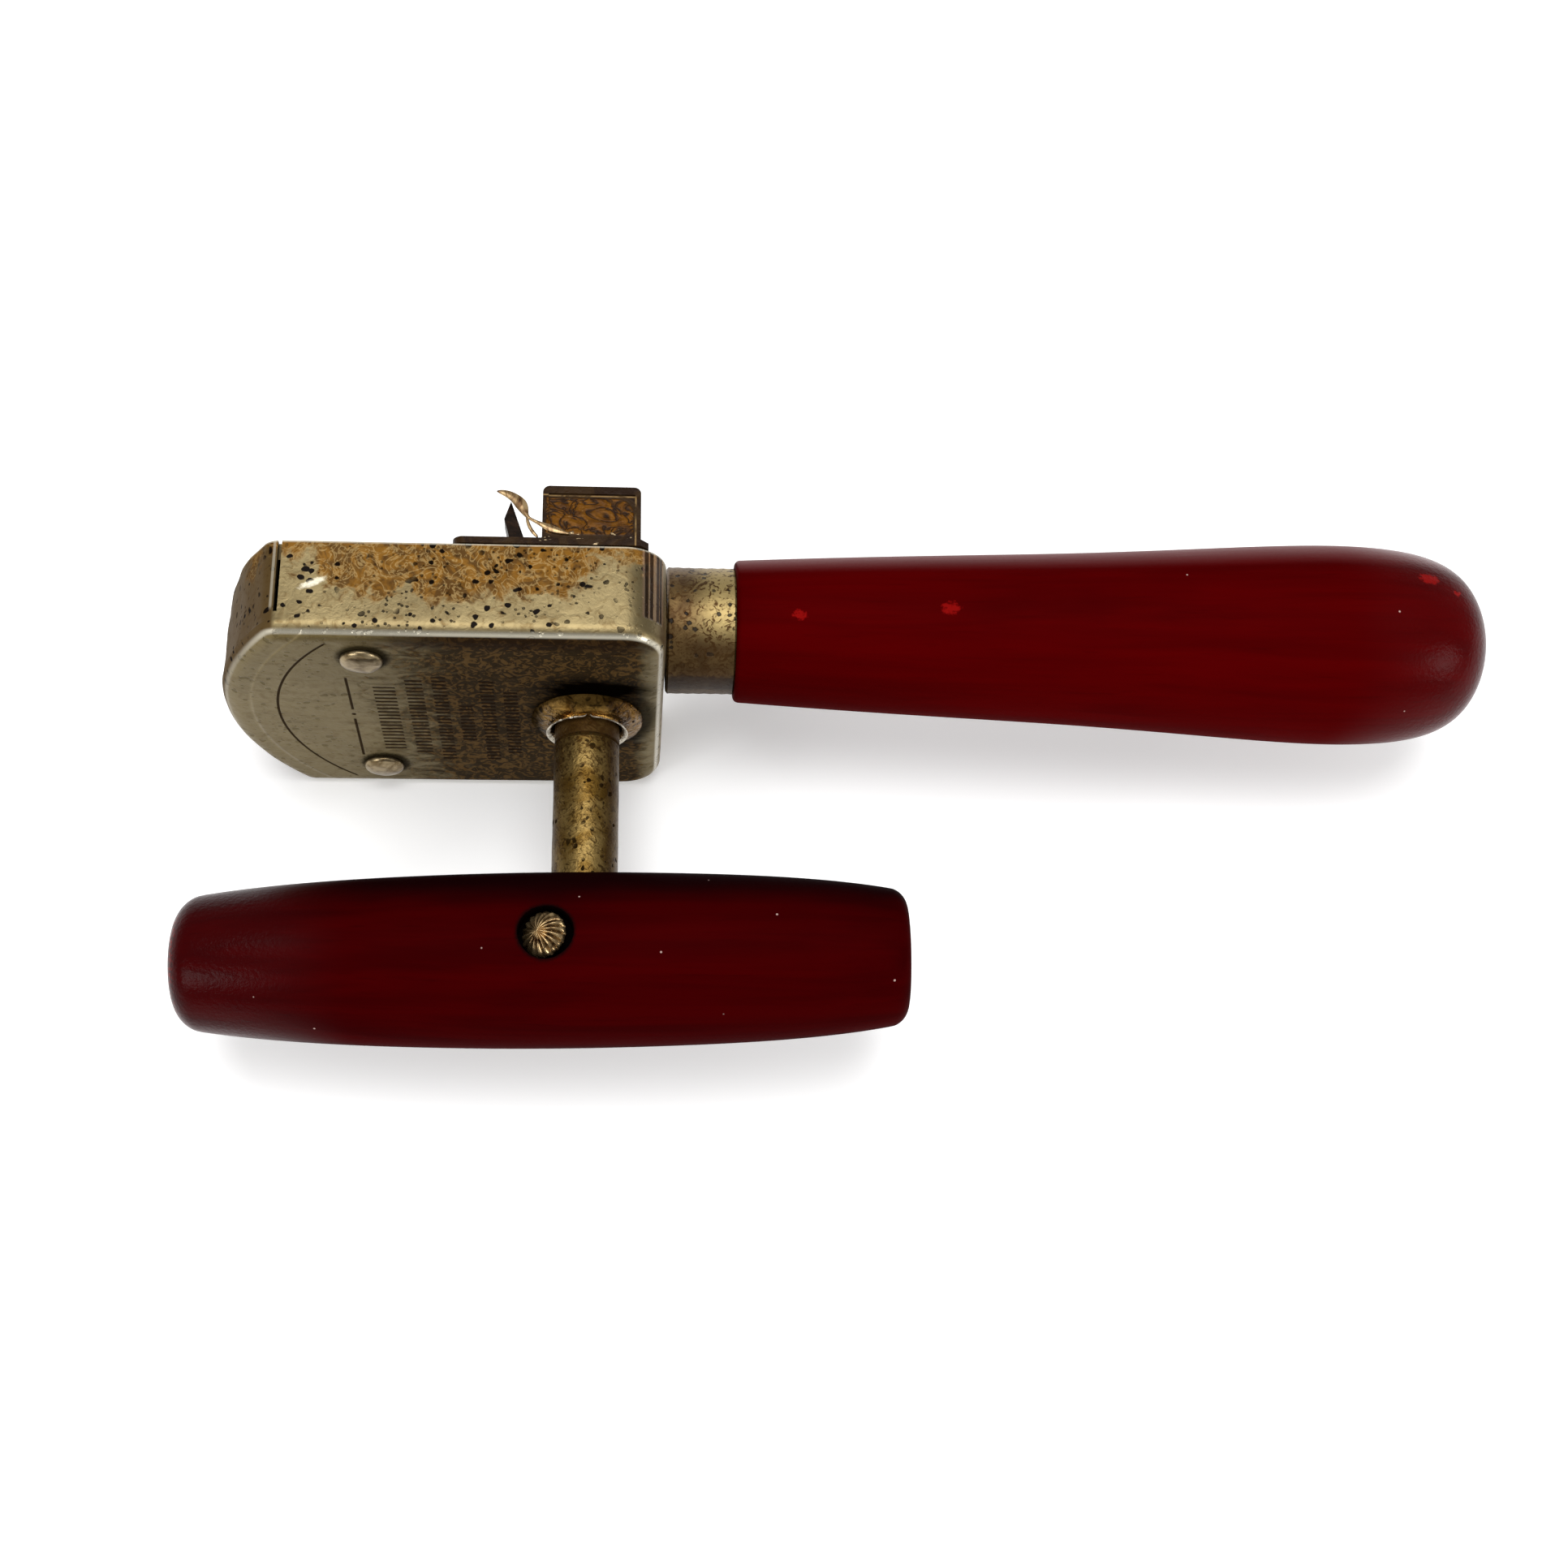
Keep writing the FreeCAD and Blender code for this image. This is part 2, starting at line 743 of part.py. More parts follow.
def tilted_hole(body, name, radius, low, high):
    """A hole along the grip pin's axis, from low to high on that axis."""
    hole = body.newObject("PartDesign::SubtractiveCylinder", body.Label + "_" + name)
    bind(hole, "Radius", radius)
    bind(hole, "Height", as_size(high) - low)
    lean = Size(math.radians(dims.pin_tilt.value), dims.pin_tilt.text)
    along_x = Size(-math.sin(lean.value), "(0 - sin(%s))" % lean.text)
    along_z = Size(math.cos(lean.value), "cos(%s)" % lean.text)
    hole.Placement = FreeCAD.Placement(Vector(), FreeCAD.Rotation(Vector(0, -1, 0), dims.pin_tilt.value))
    return hole, along_x * low, along_z * low


def place_tilted(hole, x, y, z):
    for axis, size in zip("xyz", (x, y, z)):
        bind(hole, "Placement.Base." + axis, size)
    bind(hole, "Placement.Rotation.Angle", dims.pin_tilt)


def turn_with_crank(body, angle):
    """Turns a body that lies on the crank's axis, to where it is while the crank rests."""
    placement = body.Placement
    placement.Rotation = FreeCAD.Rotation(Vector(0, -1, 0), angle.value)
    body.Placement = placement
    bind(body, "Placement.Rotation.Angle", angle)


def crank_shaft():
    """The crank's shaft: full diameter through the collar, a thinner journal through the gears and plate."""
    chamfer = dims.shaft_chamfer
    body = turned_part("crank_shaft", [
        (dims.journal_end_y, 0),
        (dims.journal_end_y, dims.journal_radius),
        (dims.shaft_shoulder_y, dims.journal_radius),
        (dims.shaft_shoulder_y, dims.shaft_radius),
        (dims.shaft_front_y + chamfer, dims.shaft_radius),
        (dims.shaft_front_y, dims.shaft_radius - chamfer),
        (dims.shaft_front_y, 0),
    ])
    turn_with_crank(body, dims.crank_rest_angle)
    hole, x, z = tilted_hole(body, "pin_hole", dims.pin_radius, -dims.pin_depth, dims.pin_seat)
    place_tilted(hole, x, dims.grip_y, z)
    return body


def crank_grip():
    """The turned cross grip, bored for the shaft and drilled and sunk for its pin."""
    body = new_body("crank_grip", 0.0, dims.grip_y, 0.0)
    turn_with_crank(body, dims.crank_rest_angle)
    sketch = new_sketch(body, "profile", "XZ_Plane")
    half = dims.grip_half_length
    left = dims.grip_x - half
    right = dims.grip_x + half
    poles = [(half * share + dims.grip_x, dims.grip_radius * radius) for share, radius in GRIP_CURVE]
    curve = draw_curve(sketch, poles)
    close_curve(sketch, curve, [(right, 0), (left, 0)])
    grip = revolve(body, sketch)
    for end, radius in ((left.value, dims.grip_left_round), (right.value, dims.grip_right_round)):
        grip = round_edges(
            body, grip, radius, lambda edge: near(edge.BoundBox.XMin, end) and near(edge.BoundBox.XMax, end)
        )
    bore = new_sketch(body, "shaft_bore", "XZ_Plane", dims.grip_y - dims.shaft_front_y)
    draw_circle(bore, 0, 0, dims.shaft_radius)
    pocket_through(body, bore)
    hole, x, z = tilted_hole(body, "pin_hole", dims.pin_radius, -dims.pin_depth, dims.pin_seat)
    place_tilted(hole, x, 0, z)
    sink, x, z = tilted_hole(body, "pin_sink", dims.pin_sink_radius, dims.pin_seat, dims.grip_radius * 1.5)
    place_tilted(sink, x, 0, z)
    return body


def grip_pin():
    """The domed pin that holds the grip on the shaft, leaning towards the grip's middle."""
    body = new_body("grip_pin", 0.0, dims.grip_y, 0.0)
    turn_with_crank(body, dims.crank_rest_angle + dims.pin_tilt)
    rim_z = dims.pin_seat + dims.pin_head_rim
    head = dims.pin_head_radius
    dome_radius = (head * head / dims.pin_head_dome + dims.pin_head_dome) / 2
    sketch = new_sketch(body, "profile", "XZ_Plane")
    draw_outline(sketch, [
        (0, -dims.pin_depth),
        (dims.pin_radius, -dims.pin_depth),
        (dims.pin_radius, dims.pin_seat),
        (head, dims.pin_seat),
        (head, rim_z, dome_radius),
        (0, rim_z + dims.pin_head_dome),
    ])
    revolve(body, sketch, "V_Axis")
    return body


def toothed(label, teeth, bore, back_y, width, z=0.0):
    """A spur gear: a root disc with a bore, and one tooth repeated around it."""
    module = dims.gear_module
    pitch = module * teeth / 2
    root = pitch - module * 1.2
    tip = pitch + module * 0.85
    body = sheet_part(label, None, [(0, 0, root), (0, 0, bore)], back_y, width, 0.0, z)
    sketch = new_sketch(body, "tooth", "XZ_Plane", -as_size(back_y))
    flank = ((root - module * 0.2, module * 0.86), (pitch, module * 0.7), (tip, module * 0.33))
    right = [(width_here, height) for height, width_here in flank]
    left = [(-width_here, height) for height, width_here in reversed(flank)]
    draw_outline(sketch, right + left)
    repeat_around(body, pad(body, sketch, width), sketch, teeth)
    return body


def crank_pinion():
    """The crank's small gear, turned by half a tooth so that a gap faces the larger gear."""
    back_y = dims.shaft_shoulder_y + dims.pinion_width
    body = toothed("crank_pinion", dims.pinion_teeth, dims.journal_radius, back_y, dims.pinion_width)
    placement = body.Placement
    placement.Rotation = FreeCAD.Rotation(Vector(0, 1, 0), 180 / dims.pinion_teeth.value)
    body.Placement = placement
    bind(body, "Placement.Rotation.Angle", 180 / dims.pinion_teeth)
    return body


def ring(label, radius, bore, back_y, thickness, z=0.0):
    return sheet_part(label, None, [(0, 0, radius), (0, 0, bore)], back_y, thickness, 0.0, z)


def crank_spacer():
    back_y = -dims.plate_thickness - dims.behind_gap
    length = back_y - (dims.shaft_shoulder_y + dims.pinion_width)
    return ring("crank_spacer", dims.spacer_radius, dims.journal_radius, back_y, length)


def crank_retainer():
    back_y = dims.behind_gap + dims.retainer_thickness
    return ring("crank_retainer", dims.retainer_radius, dims.journal_radius, back_y, dims.retainer_thickness)


# ---------------------------------------------------------------- the feed wheel


def feed_shaft():
    """The feed shaft: peened head in front of the gear, bearing, and a thinner seat for the wheel."""
    head_y = dims.gear_front_y - dims.feed_head
    return turned_part("feed_shaft", [
        (dims.feed_end_y, 0),
        (dims.feed_end_y, dims.feed_seat_radius),
        (dims.wheel_front_y, dims.feed_seat_radius),
        (dims.wheel_front_y, dims.feed_shaft_radius),
        (dims.gear_front_y, dims.feed_shaft_radius),
        (dims.gear_front_y, dims.feed_head_radius),
        (head_y, dims.feed_head_radius),
        (head_y, 0),
    ], 0.0, feed_z)


def feed_gear():
    back_y = dims.gear_front_y + dims.gear_width
    return toothed("feed_gear", dims.gear_teeth, dims.feed_shaft_radius, back_y, dims.gear_width, feed_z)


def feed_wheel():
    """The serrated wheel that grips the can's rim."""
    back_y = dims.wheel_front_y + dims.wheel_width
    body = ring("feed_wheel", dims.wheel_radius, dims.feed_seat_radius, back_y, dims.wheel_width, feed_z)
    sketch = new_sketch(body, "notch", "XZ_Plane", -dims.wheel_front_y)
    half = dims.notch_half_width
    outside = dims.wheel_radius + dims.notch_depth
    draw_outline(sketch, [
        (0, dims.wheel_radius - dims.notch_depth),
        (half * 2, outside),
        (-half * 2, outside),
    ])
    repeat_around(body, pocket_through(body, sketch), sketch, dims.wheel_notches)
    return body


def feed_washer():
    back_y = dims.wheel_front_y + dims.wheel_width + dims.washer_thickness
    return ring("feed_washer", dims.washer_radius, dims.feed_seat_radius, back_y, dims.washer_thickness, feed_z)


def feed_nut():
    """A plain hexagon nut."""
    half = dims.nut_half_flats
    point = half * 2 / square_root(as_size(3))
    outline = [
        (point, 0), (point / 2, half), (-point / 2, half), (-point, 0), (-point / 2, -half), (point / 2, -half),
    ]
    back_y = dims.wheel_front_y + dims.wheel_width + dims.washer_thickness + dims.nut_thickness
    hole = (0, 0, dims.feed_seat_radius)
    return sheet_part("feed_nut", outline, [hole], back_y, dims.nut_thickness, 0.0, feed_z)


# ---------------------------------------------------------------- the jaw


def jaw_plate():
    """The swinging plate: a lobe round its pivot, an arm over the feed shaft, and the folded rim guide."""
    top = dims.case_half_width
    corner = dims.jaw_corner
    arm_low = feed_z + dims.feed_bush_radius + dims.jaw_arm_gap
    outline = [
        (dims.jaw_left, dims.jaw_lobe_bottom),
        (dims.jaw_lobe_right, dims.jaw_lobe_bottom),
        (dims.jaw_lobe_right, arm_low),
        (dims.jaw_right, arm_low),
        (dims.jaw_right, top - dims.shelf_thickness),
        (dims.shelf_right, top),
        (dims.jaw_left + corner, top, corner),
        (dims.jaw_left, top - corner),
    ]
    pivot = (dims.pivot_x, dims.pivot_z, dims.journal_radius)
    body = sheet_part("jaw_plate", outline, [pivot], jaw_back_y, dims.jaw_thickness)
    under = top - dims.shelf_thickness
    low = (dims.shelf_left, jaw_front_y, under)
    block(body, "shelf", "Additive", low, (dims.shelf_right, dims.shelf_y, top))
    low = (dims.shelf_left, dims.shelf_y - dims.lip_thickness, top - dims.lip_height)
    lip = block(body, "lip", "Additive", low, (dims.shelf_right, dims.shelf_y, top))
    far = dims.shelf_y.value

    def is_far_corner(edge):
        bounds = edge.BoundBox
        return near(bounds.YMin, far) and near(bounds.YMax, far) and near(bounds.XLength, 0)

    round_edges(body, lip, dims.shelf_corner, is_far_corner)
    low = (dims.shelf_left + dims.shelf_band, jaw_back_y, top - dims.shelf_recess)
    high = (dims.shelf_right - dims.shelf_band, dims.shelf_y - dims.shelf_far_band, top + 1)
    block(body, "recess", "Subtractive", low, high)
    return body


def knife():
    """The blade: a riveted foot and a narrow fang that stands out over the can's lid."""
    foot_back = jaw_back_y + dims.knife_foot
    rivets = [
        (dims.knife_rivet_x, dims.knife_rivet_high, dims.knife_rivet_radius),
        (dims.knife_rivet_x, dims.knife_rivet_high - dims.knife_rivet_pitch, dims.knife_rivet_radius),
    ]
    outline = rectangle(dims.knife_left, dims.knife_bottom, dims.knife_right, dims.knife_top)
    body = sheet_part("knife", outline, rivets, foot_back, dims.knife_foot)
    fang = new_sketch(body, "fang", "XY_Plane", dims.fang_bottom)
    right = dims.knife_right - 0.1
    draw_outline(fang, [
        (right, jaw_back_y),
        (right - 2.2, dims.fang_tip_y),
        (right - 3.1, dims.fang_tip_y * 0.64),
        (right - 2.1, jaw_back_y),
    ])
    pad(body, fang, dims.fang_top - dims.fang_bottom)
    bevel = new_sketch(body, "bevel", "YZ_Plane", right + 1)
    draw_outline(bevel, [
        (foot_back, dims.fang_bottom),
        (foot_back, dims.fang_bottom - 1),
        (dims.fang_tip_y + 1, dims.fang_bottom - 1),
        (dims.fang_tip_y + 1, dims.fang_top),
    ])
    pocket_through(body, bevel)
    return body


def knife_rivets():
    """Two small rivets through the knife's foot and the jaw plate."""
    body = new_body("knife_rivets", dims.knife_rivet_x, 0.0, dims.knife_rivet_high)
    foot_back = jaw_back_y + dims.knife_foot
    dome = dims.knife_rivet_radius * 0.7
    head = dims.knife_rivet_head
    dome_radius = (head * head / dome + dome) / 2
    sketch = new_sketch(body, "profile", "YZ_Plane")
    draw_outline(sketch, [
        (foot_back + dome, 0, dome_radius),
        (foot_back, head),
        (foot_back, dims.knife_rivet_radius),
        (jaw_back_y, dims.knife_rivet_radius),
        (jaw_back_y, 0),
    ])
    repeat_down(body, revolve(body, sketch), dims.knife_rivet_pitch)
    return body


def lid_spring():
    """The thin leaf on the rim guide that reaches out beside the knife and presses on the lid."""
    left = dims.shelf_left
    far = dims.shelf_y
    body = new_body("lid_spring", 0.0, 0.0, dims.case_half_width)
    sketch = new_sketch(body, "outline", "XY_Plane")
    draw_outline(sketch, [
        (left - 6.5, far - 1.2),
        (left - 4.8, far - 2.1),
        (left - 3.5, far - 3.3),
        (left - 2.5, far - 5.3),
        (left, far - 6.8),
        (left + 3.9, far - 7.9),
        (left, far - 6.0),
        (left - 2.0, far - 5.2),
        (left - 2.1, far - 3.2),
        (left - 3.5, far - 1.8),
        (left - 5.0, far - 1.0),
    ])
    pad(body, sketch, dims.leaf_thickness)
    return body


def jaw_pivot():
    """The stud the jaw turns on: domed head behind, journal, and a thinner end for the lever."""
    head_y = jaw_back_y + dims.pivot_head / 2
    dome = dims.pivot_head / 2
    head = dims.pivot_head_radius
    dome_radius = (head * head / dome + dome) / 2
    lever_front_y = lever_back_y - dims.lever_thickness
    return turned_part("jaw_pivot", [
        (head_y + dome, 0, dome_radius),
        (head_y, head),
        (jaw_back_y, head),
        (jaw_back_y, dims.journal_radius),
        (lever_back_y, dims.journal_radius),
        (lever_back_y, dims.pivot_end_radius),
        (lever_front_y, dims.pivot_end_radius),
        (lever_front_y, dims.journal_radius),
        (lever_front_y - dome, dims.journal_radius),
        (lever_front_y - dome, 0),
    ], dims.pivot_x, dims.pivot_z)


def jaw_arm():
    """The lever on the jaw's stud inside the case: the spring lifts it against the upper rivet's post."""
    radius = dims.lever_radius
    outline = [
        (0, -radius, radius),
        (radius, 0, radius),
        (0, radius),
        (-dims.lever_length, dims.lever_top),
        (-dims.lever_length, -dims.lever_bottom),
        (-dims.lever_bottom * 2, -dims.lever_bottom),
    ]
    hole = (0, 0, dims.pivot_end_radius)
    return sheet_part(
        "jaw_arm", outline, [hole], lever_back_y, dims.lever_thickness, dims.pivot_x, dims.pivot_z
    )


# ---------------------------------------------------------------- build, check and write

BUILDERS = (
    gear_case, frame_plate, ferrule, long_handle, case_rivets, crank_bushing, feed_bushing, jaw_bushing,
    spring_seat, jaw_spring, crank_shaft, crank_pinion, crank_spacer, crank_retainer, crank_grip, grip_pin,
    feed_shaft, feed_gear, feed_wheel, feed_washer, feed_nut, jaw_plate, knife, knife_rivets, lid_spring,
    jaw_pivot, jaw_arm,
)


def check_document():
    for item in doc.Objects:
        if {"Invalid", "Error"} & set(item.State):
            raise RuntimeError("%s did not compute: %s" % (item.Name, item.State))


def write_parts(bodies):
    os.makedirs("parts", exist_ok=True)
    for body in bodies:
        if body.Shape.isNull() or not body.Shape.isValid():
            raise RuntimeError("%s has no valid shape" % body.Label)
        body.Shape.exportStep("parts/%s.step" % body.Label)


bodies = [build() for build in BUILDERS]
doc.recompute()
check_document()
write_parts(bodies)
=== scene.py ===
from math import atan2, cos, degrees, exp, pi, radians, sin, sqrt, tan, tau

import bmesh
import bpy
from mathutils import Matrix, Vector, noise


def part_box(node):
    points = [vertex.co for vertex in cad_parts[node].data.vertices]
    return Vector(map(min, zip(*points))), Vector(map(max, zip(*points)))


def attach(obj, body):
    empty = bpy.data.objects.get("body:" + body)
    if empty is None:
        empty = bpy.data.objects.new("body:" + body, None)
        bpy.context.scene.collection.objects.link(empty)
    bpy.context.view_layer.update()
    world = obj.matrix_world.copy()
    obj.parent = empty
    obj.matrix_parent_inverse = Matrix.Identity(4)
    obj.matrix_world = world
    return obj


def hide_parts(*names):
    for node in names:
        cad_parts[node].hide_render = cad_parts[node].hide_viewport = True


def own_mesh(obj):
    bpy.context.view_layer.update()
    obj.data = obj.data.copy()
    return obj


# An old hand-crank can opener: a tarnished nickel case, a rusty jaw, and two red-painted handles.
# Lengths are millimetres in the row's frame; mesh_object, Paint and the stage turn them into metres.
MM = 0.001


def linear(value):
    """A display value from 0 to 255 as the linear one that a shader takes."""
    part = value / 255
    return ((part + 0.055) / 1.055) ** 2.4 if part > 0.04045 else part / 12.92


# ---- colours, 0 to 255

NICKEL_LIGHT = (124, 110, 78)
NICKEL_GREY = (108, 95, 67)
NICKEL_STAIN = (84, 64, 34)
NICKEL_DULL = (66, 46, 18)
NICKEL_BRIGHT = (196, 190, 172)
RUST_DARK = (74, 44, 6)
RUST_LIGHT = (122, 80, 16)
RUST_VEIN = (176, 148, 96)
PIT_DARK = (14, 7, 3)
FACE_SHADE = (98, 84, 46)
GRIME_AND_SHADE_BROWN = (28, 14, 4)
GRIME_PALE = (92, 66, 32)
GRIME_AND_SHADE_BLACK = (4, 2, 1)
RIB_LIGHT = (140, 112, 92)
SCUFF = (226, 220, 200)
BRASSY = ((126, 104, 60), (92, 68, 26), (46, 28, 7))
COLLAR = ((216, 168, 88), (118, 80, 26), (28, 14, 3))
BAND_BROWN = (58, 38, 14)
LIP_SILVER = (226, 218, 200)
FERRULE_LIGHT = (102, 80, 48)
FERRULE_GREY = (76, 56, 32)
FERRULE_HIGHLIGHT = (160, 140, 92)
FERRULE_RUST = (62, 38, 10)
RUSTY_GOLD = (98, 60, 5)
RUSTY_BROWN = (66, 38, 6)
RUSTY_DARK = (30, 15, 3)
RUSTY_PALE = (150, 120, 74)
SPARK = (160, 140, 108)
FRAME_OLIVE = (44, 28, 9)
LEAF_CREAM = (164, 138, 98)
LEAF_GOLD = (88, 60, 28)
LEAF_BROWN = (40, 23, 8)
HANDLE_REDS = ((70, 0, 1), (61, 0, 1), (43, 0, 1))
GRIP_REDS = ((54, 0, 1), (44, 0, 1), (28, 0, 1))
RED_SHADE_BLACK = (14, 2, 3)
RED_CHIP = (140, 14, 12)
RED_SHEEN = (112, 22, 24)
SINK_SHADE_BLACK = (6, 3, 3)
SPECK = (220, 190, 180)
FLOOR_DIM = (247, 247, 247)
FLOOR_BRIGHT = (249.3, 249.3, 249.3)
PIN_NICKEL = ((178, 152, 110), (70, 46, 22))
RIVET_NICKEL = ((146, 130, 100), (96, 78, 50))
DARK_STEEL = ((34, 22, 14), (10, 6, 4))
PLATE_STEEL = ((92, 79, 54), (66, 51, 29))
GEAR_STEEL = ((120, 116, 106), (74, 68, 58))
BEARING = ((170, 132, 66), (112, 80, 36))

# ---- sizes

# the case
CORNER_RADIUS = 6.0
END_CORNER_RADIUS = 3.0
END_ARC_RADIUS = 40.0
FACE_FILLET = 2.3
CASE_WALL = 1.2
SLIT_WIDTH = 0.55
SLIT_DEPTH = 11.1
SLIT_REACH = 6.0
SLIT_FROM_LEFT = 10.4
RIVET_INSET = 3.2

# the case's engraving; lengths along Z are from the crank's axis
ARC_X = -12.7
ENGRAVED_RADIUS = 32.0
PANEL_RADIUS = 35.7
ENGRAVED_X = -34.0
ENGRAVED_BARS = ((1.6, 11.8), (-14.4, -1.6))
RIB_ANGLES = (32.0, 40.5, 53.0, 60.0)
SCUFF_X = -37.5
TICK_PITCH = 1.15
# each row of ticks: x, half of its width, and where it starts and ends along Z
TICK_ROWS = (
    (-28.9, 1.5, -12.5, 9.0),
    (-24.6, 1.15, -14.0, 12.0),
    (-21.0, 0.95, -15.5, 12.5),
    (-17.6, 0.95, -9.0, 3.5),
    (-14.3, 0.95, -15.5, 12.0),
    (-11.0, 0.95, -13.5, 8.0),
)

# the jaw's shelf, from the jaw's right side
SHELF_FAR = 14.9
SHELF_NEAR = 1.1

# how far the thin leaf stays below the top of its CAD box, and points along its blade and strand:
# x, y and depth from the box's left and front and the leaf's top, half of the width, thickness
LEAF_DROP = 0.32
LEAF_BLADE = (
    (0.0, 6.8, 0.0, 0.1, 0.25),
    (0.6, 6.7, 0.0, 0.42, 0.35),
    (1.6, 6.4, 0.0, 0.68, 0.45),
    (2.7, 5.7, 0.0, 0.85, 0.55),
    (3.5, 4.8, 0.0, 1.1, 0.6),
    (4.0, 3.7, 0.0, 0.75, 0.5),
    (4.3, 2.8, 0.0, 0.3, 0.4),
    (5.0, 2.3, 0.0, 0.25, 0.4),
    (6.2, 1.7, 0.05, 0.34, 0.4),
    (7.4, 1.1, 0.05, 0.72, 0.4),
    (8.9, 0.6, 0.05, 0.5, 0.35),
    (10.5, 0.1, 0.1, 0.08, 0.2),
)
LEAF_STRAND = (
    (4.3, 3.0, 0.2, 0.2, 0.3),
    (4.5, 1.8, 0.3, 0.3, 0.3),
    (5.1, 0.6, 0.4, 0.32, 0.3),
    (6.0, -0.3, 0.5, 0.25, 0.3),
)
# a strip's cross section: shares of half of its width and of half of its thickness
STRIP_SECTION = ((-1, 0), (-0.6, 0.5), (0, 1), (0.6, 0.4), (1, 0), (0.6, -0.6), (0, -0.8), (-0.6, -0.6))

# the handles and the crank
HANDLE_LEAN = 0.4
CRANK_ANGLE = 2.6
PIN_TILT = 24.0
PIN_FLUTES = 18
SINK_X = -5.0
GRIP_X = -5.43
GRIP_HALF_LENGTH = 51.07
GRIP_RADIUS = 12.4
GROOVE_FROM_LIP = 2.0

# the jaw's spring
SPRING_WIRE = 0.35
SPRING_TURNS = 7
SPRING_STEPS = 24


# ---- materials

def operator(operation, backwards=False):
    """A Field's operator: a math node, with its two sides swapped if backwards."""
    def apply(self, *other):
        sides = (*other, self) if backwards else (self, *other)
        return self.paint.math(operation, *sides)
    return apply


class Field:
    """A number that a material's nodes work out at each point of a surface."""

    def __init__(self, paint, socket):
        self.paint = paint
        self.socket = socket

    __add__ = operator("ADD")
    __radd__ = operator("ADD")
    __sub__ = operator("SUBTRACT")
    __rsub__ = operator("SUBTRACT", backwards=True)
    __mul__ = operator("MULTIPLY")
    __rmul__ = operator("MULTIPLY")
    __truediv__ = operator("DIVIDE")
    __abs__ = operator("ABSOLUTE")
    sqrt = operator("SQRT")

    def above(self, low, high):
        """0 below low and 1 above high, with a soft step between."""
        return self.paint.ramp(self, low, high)

    def below(self, low, high):
        """1 below low and 0 above high, with a soft step between."""
        return 1.0 - self.paint.ramp(self, low, high)

    def near(self, centre, half_width, soft):
        """1 within half_width of centre, 0 further off."""
        return abs(self - centre).below(half_width, half_width + soft)

    def between(self, low, high, soft):
        """1 from low to high, 0 further off."""
        return self.near((low + high) / 2, (high - low) / 2, soft)


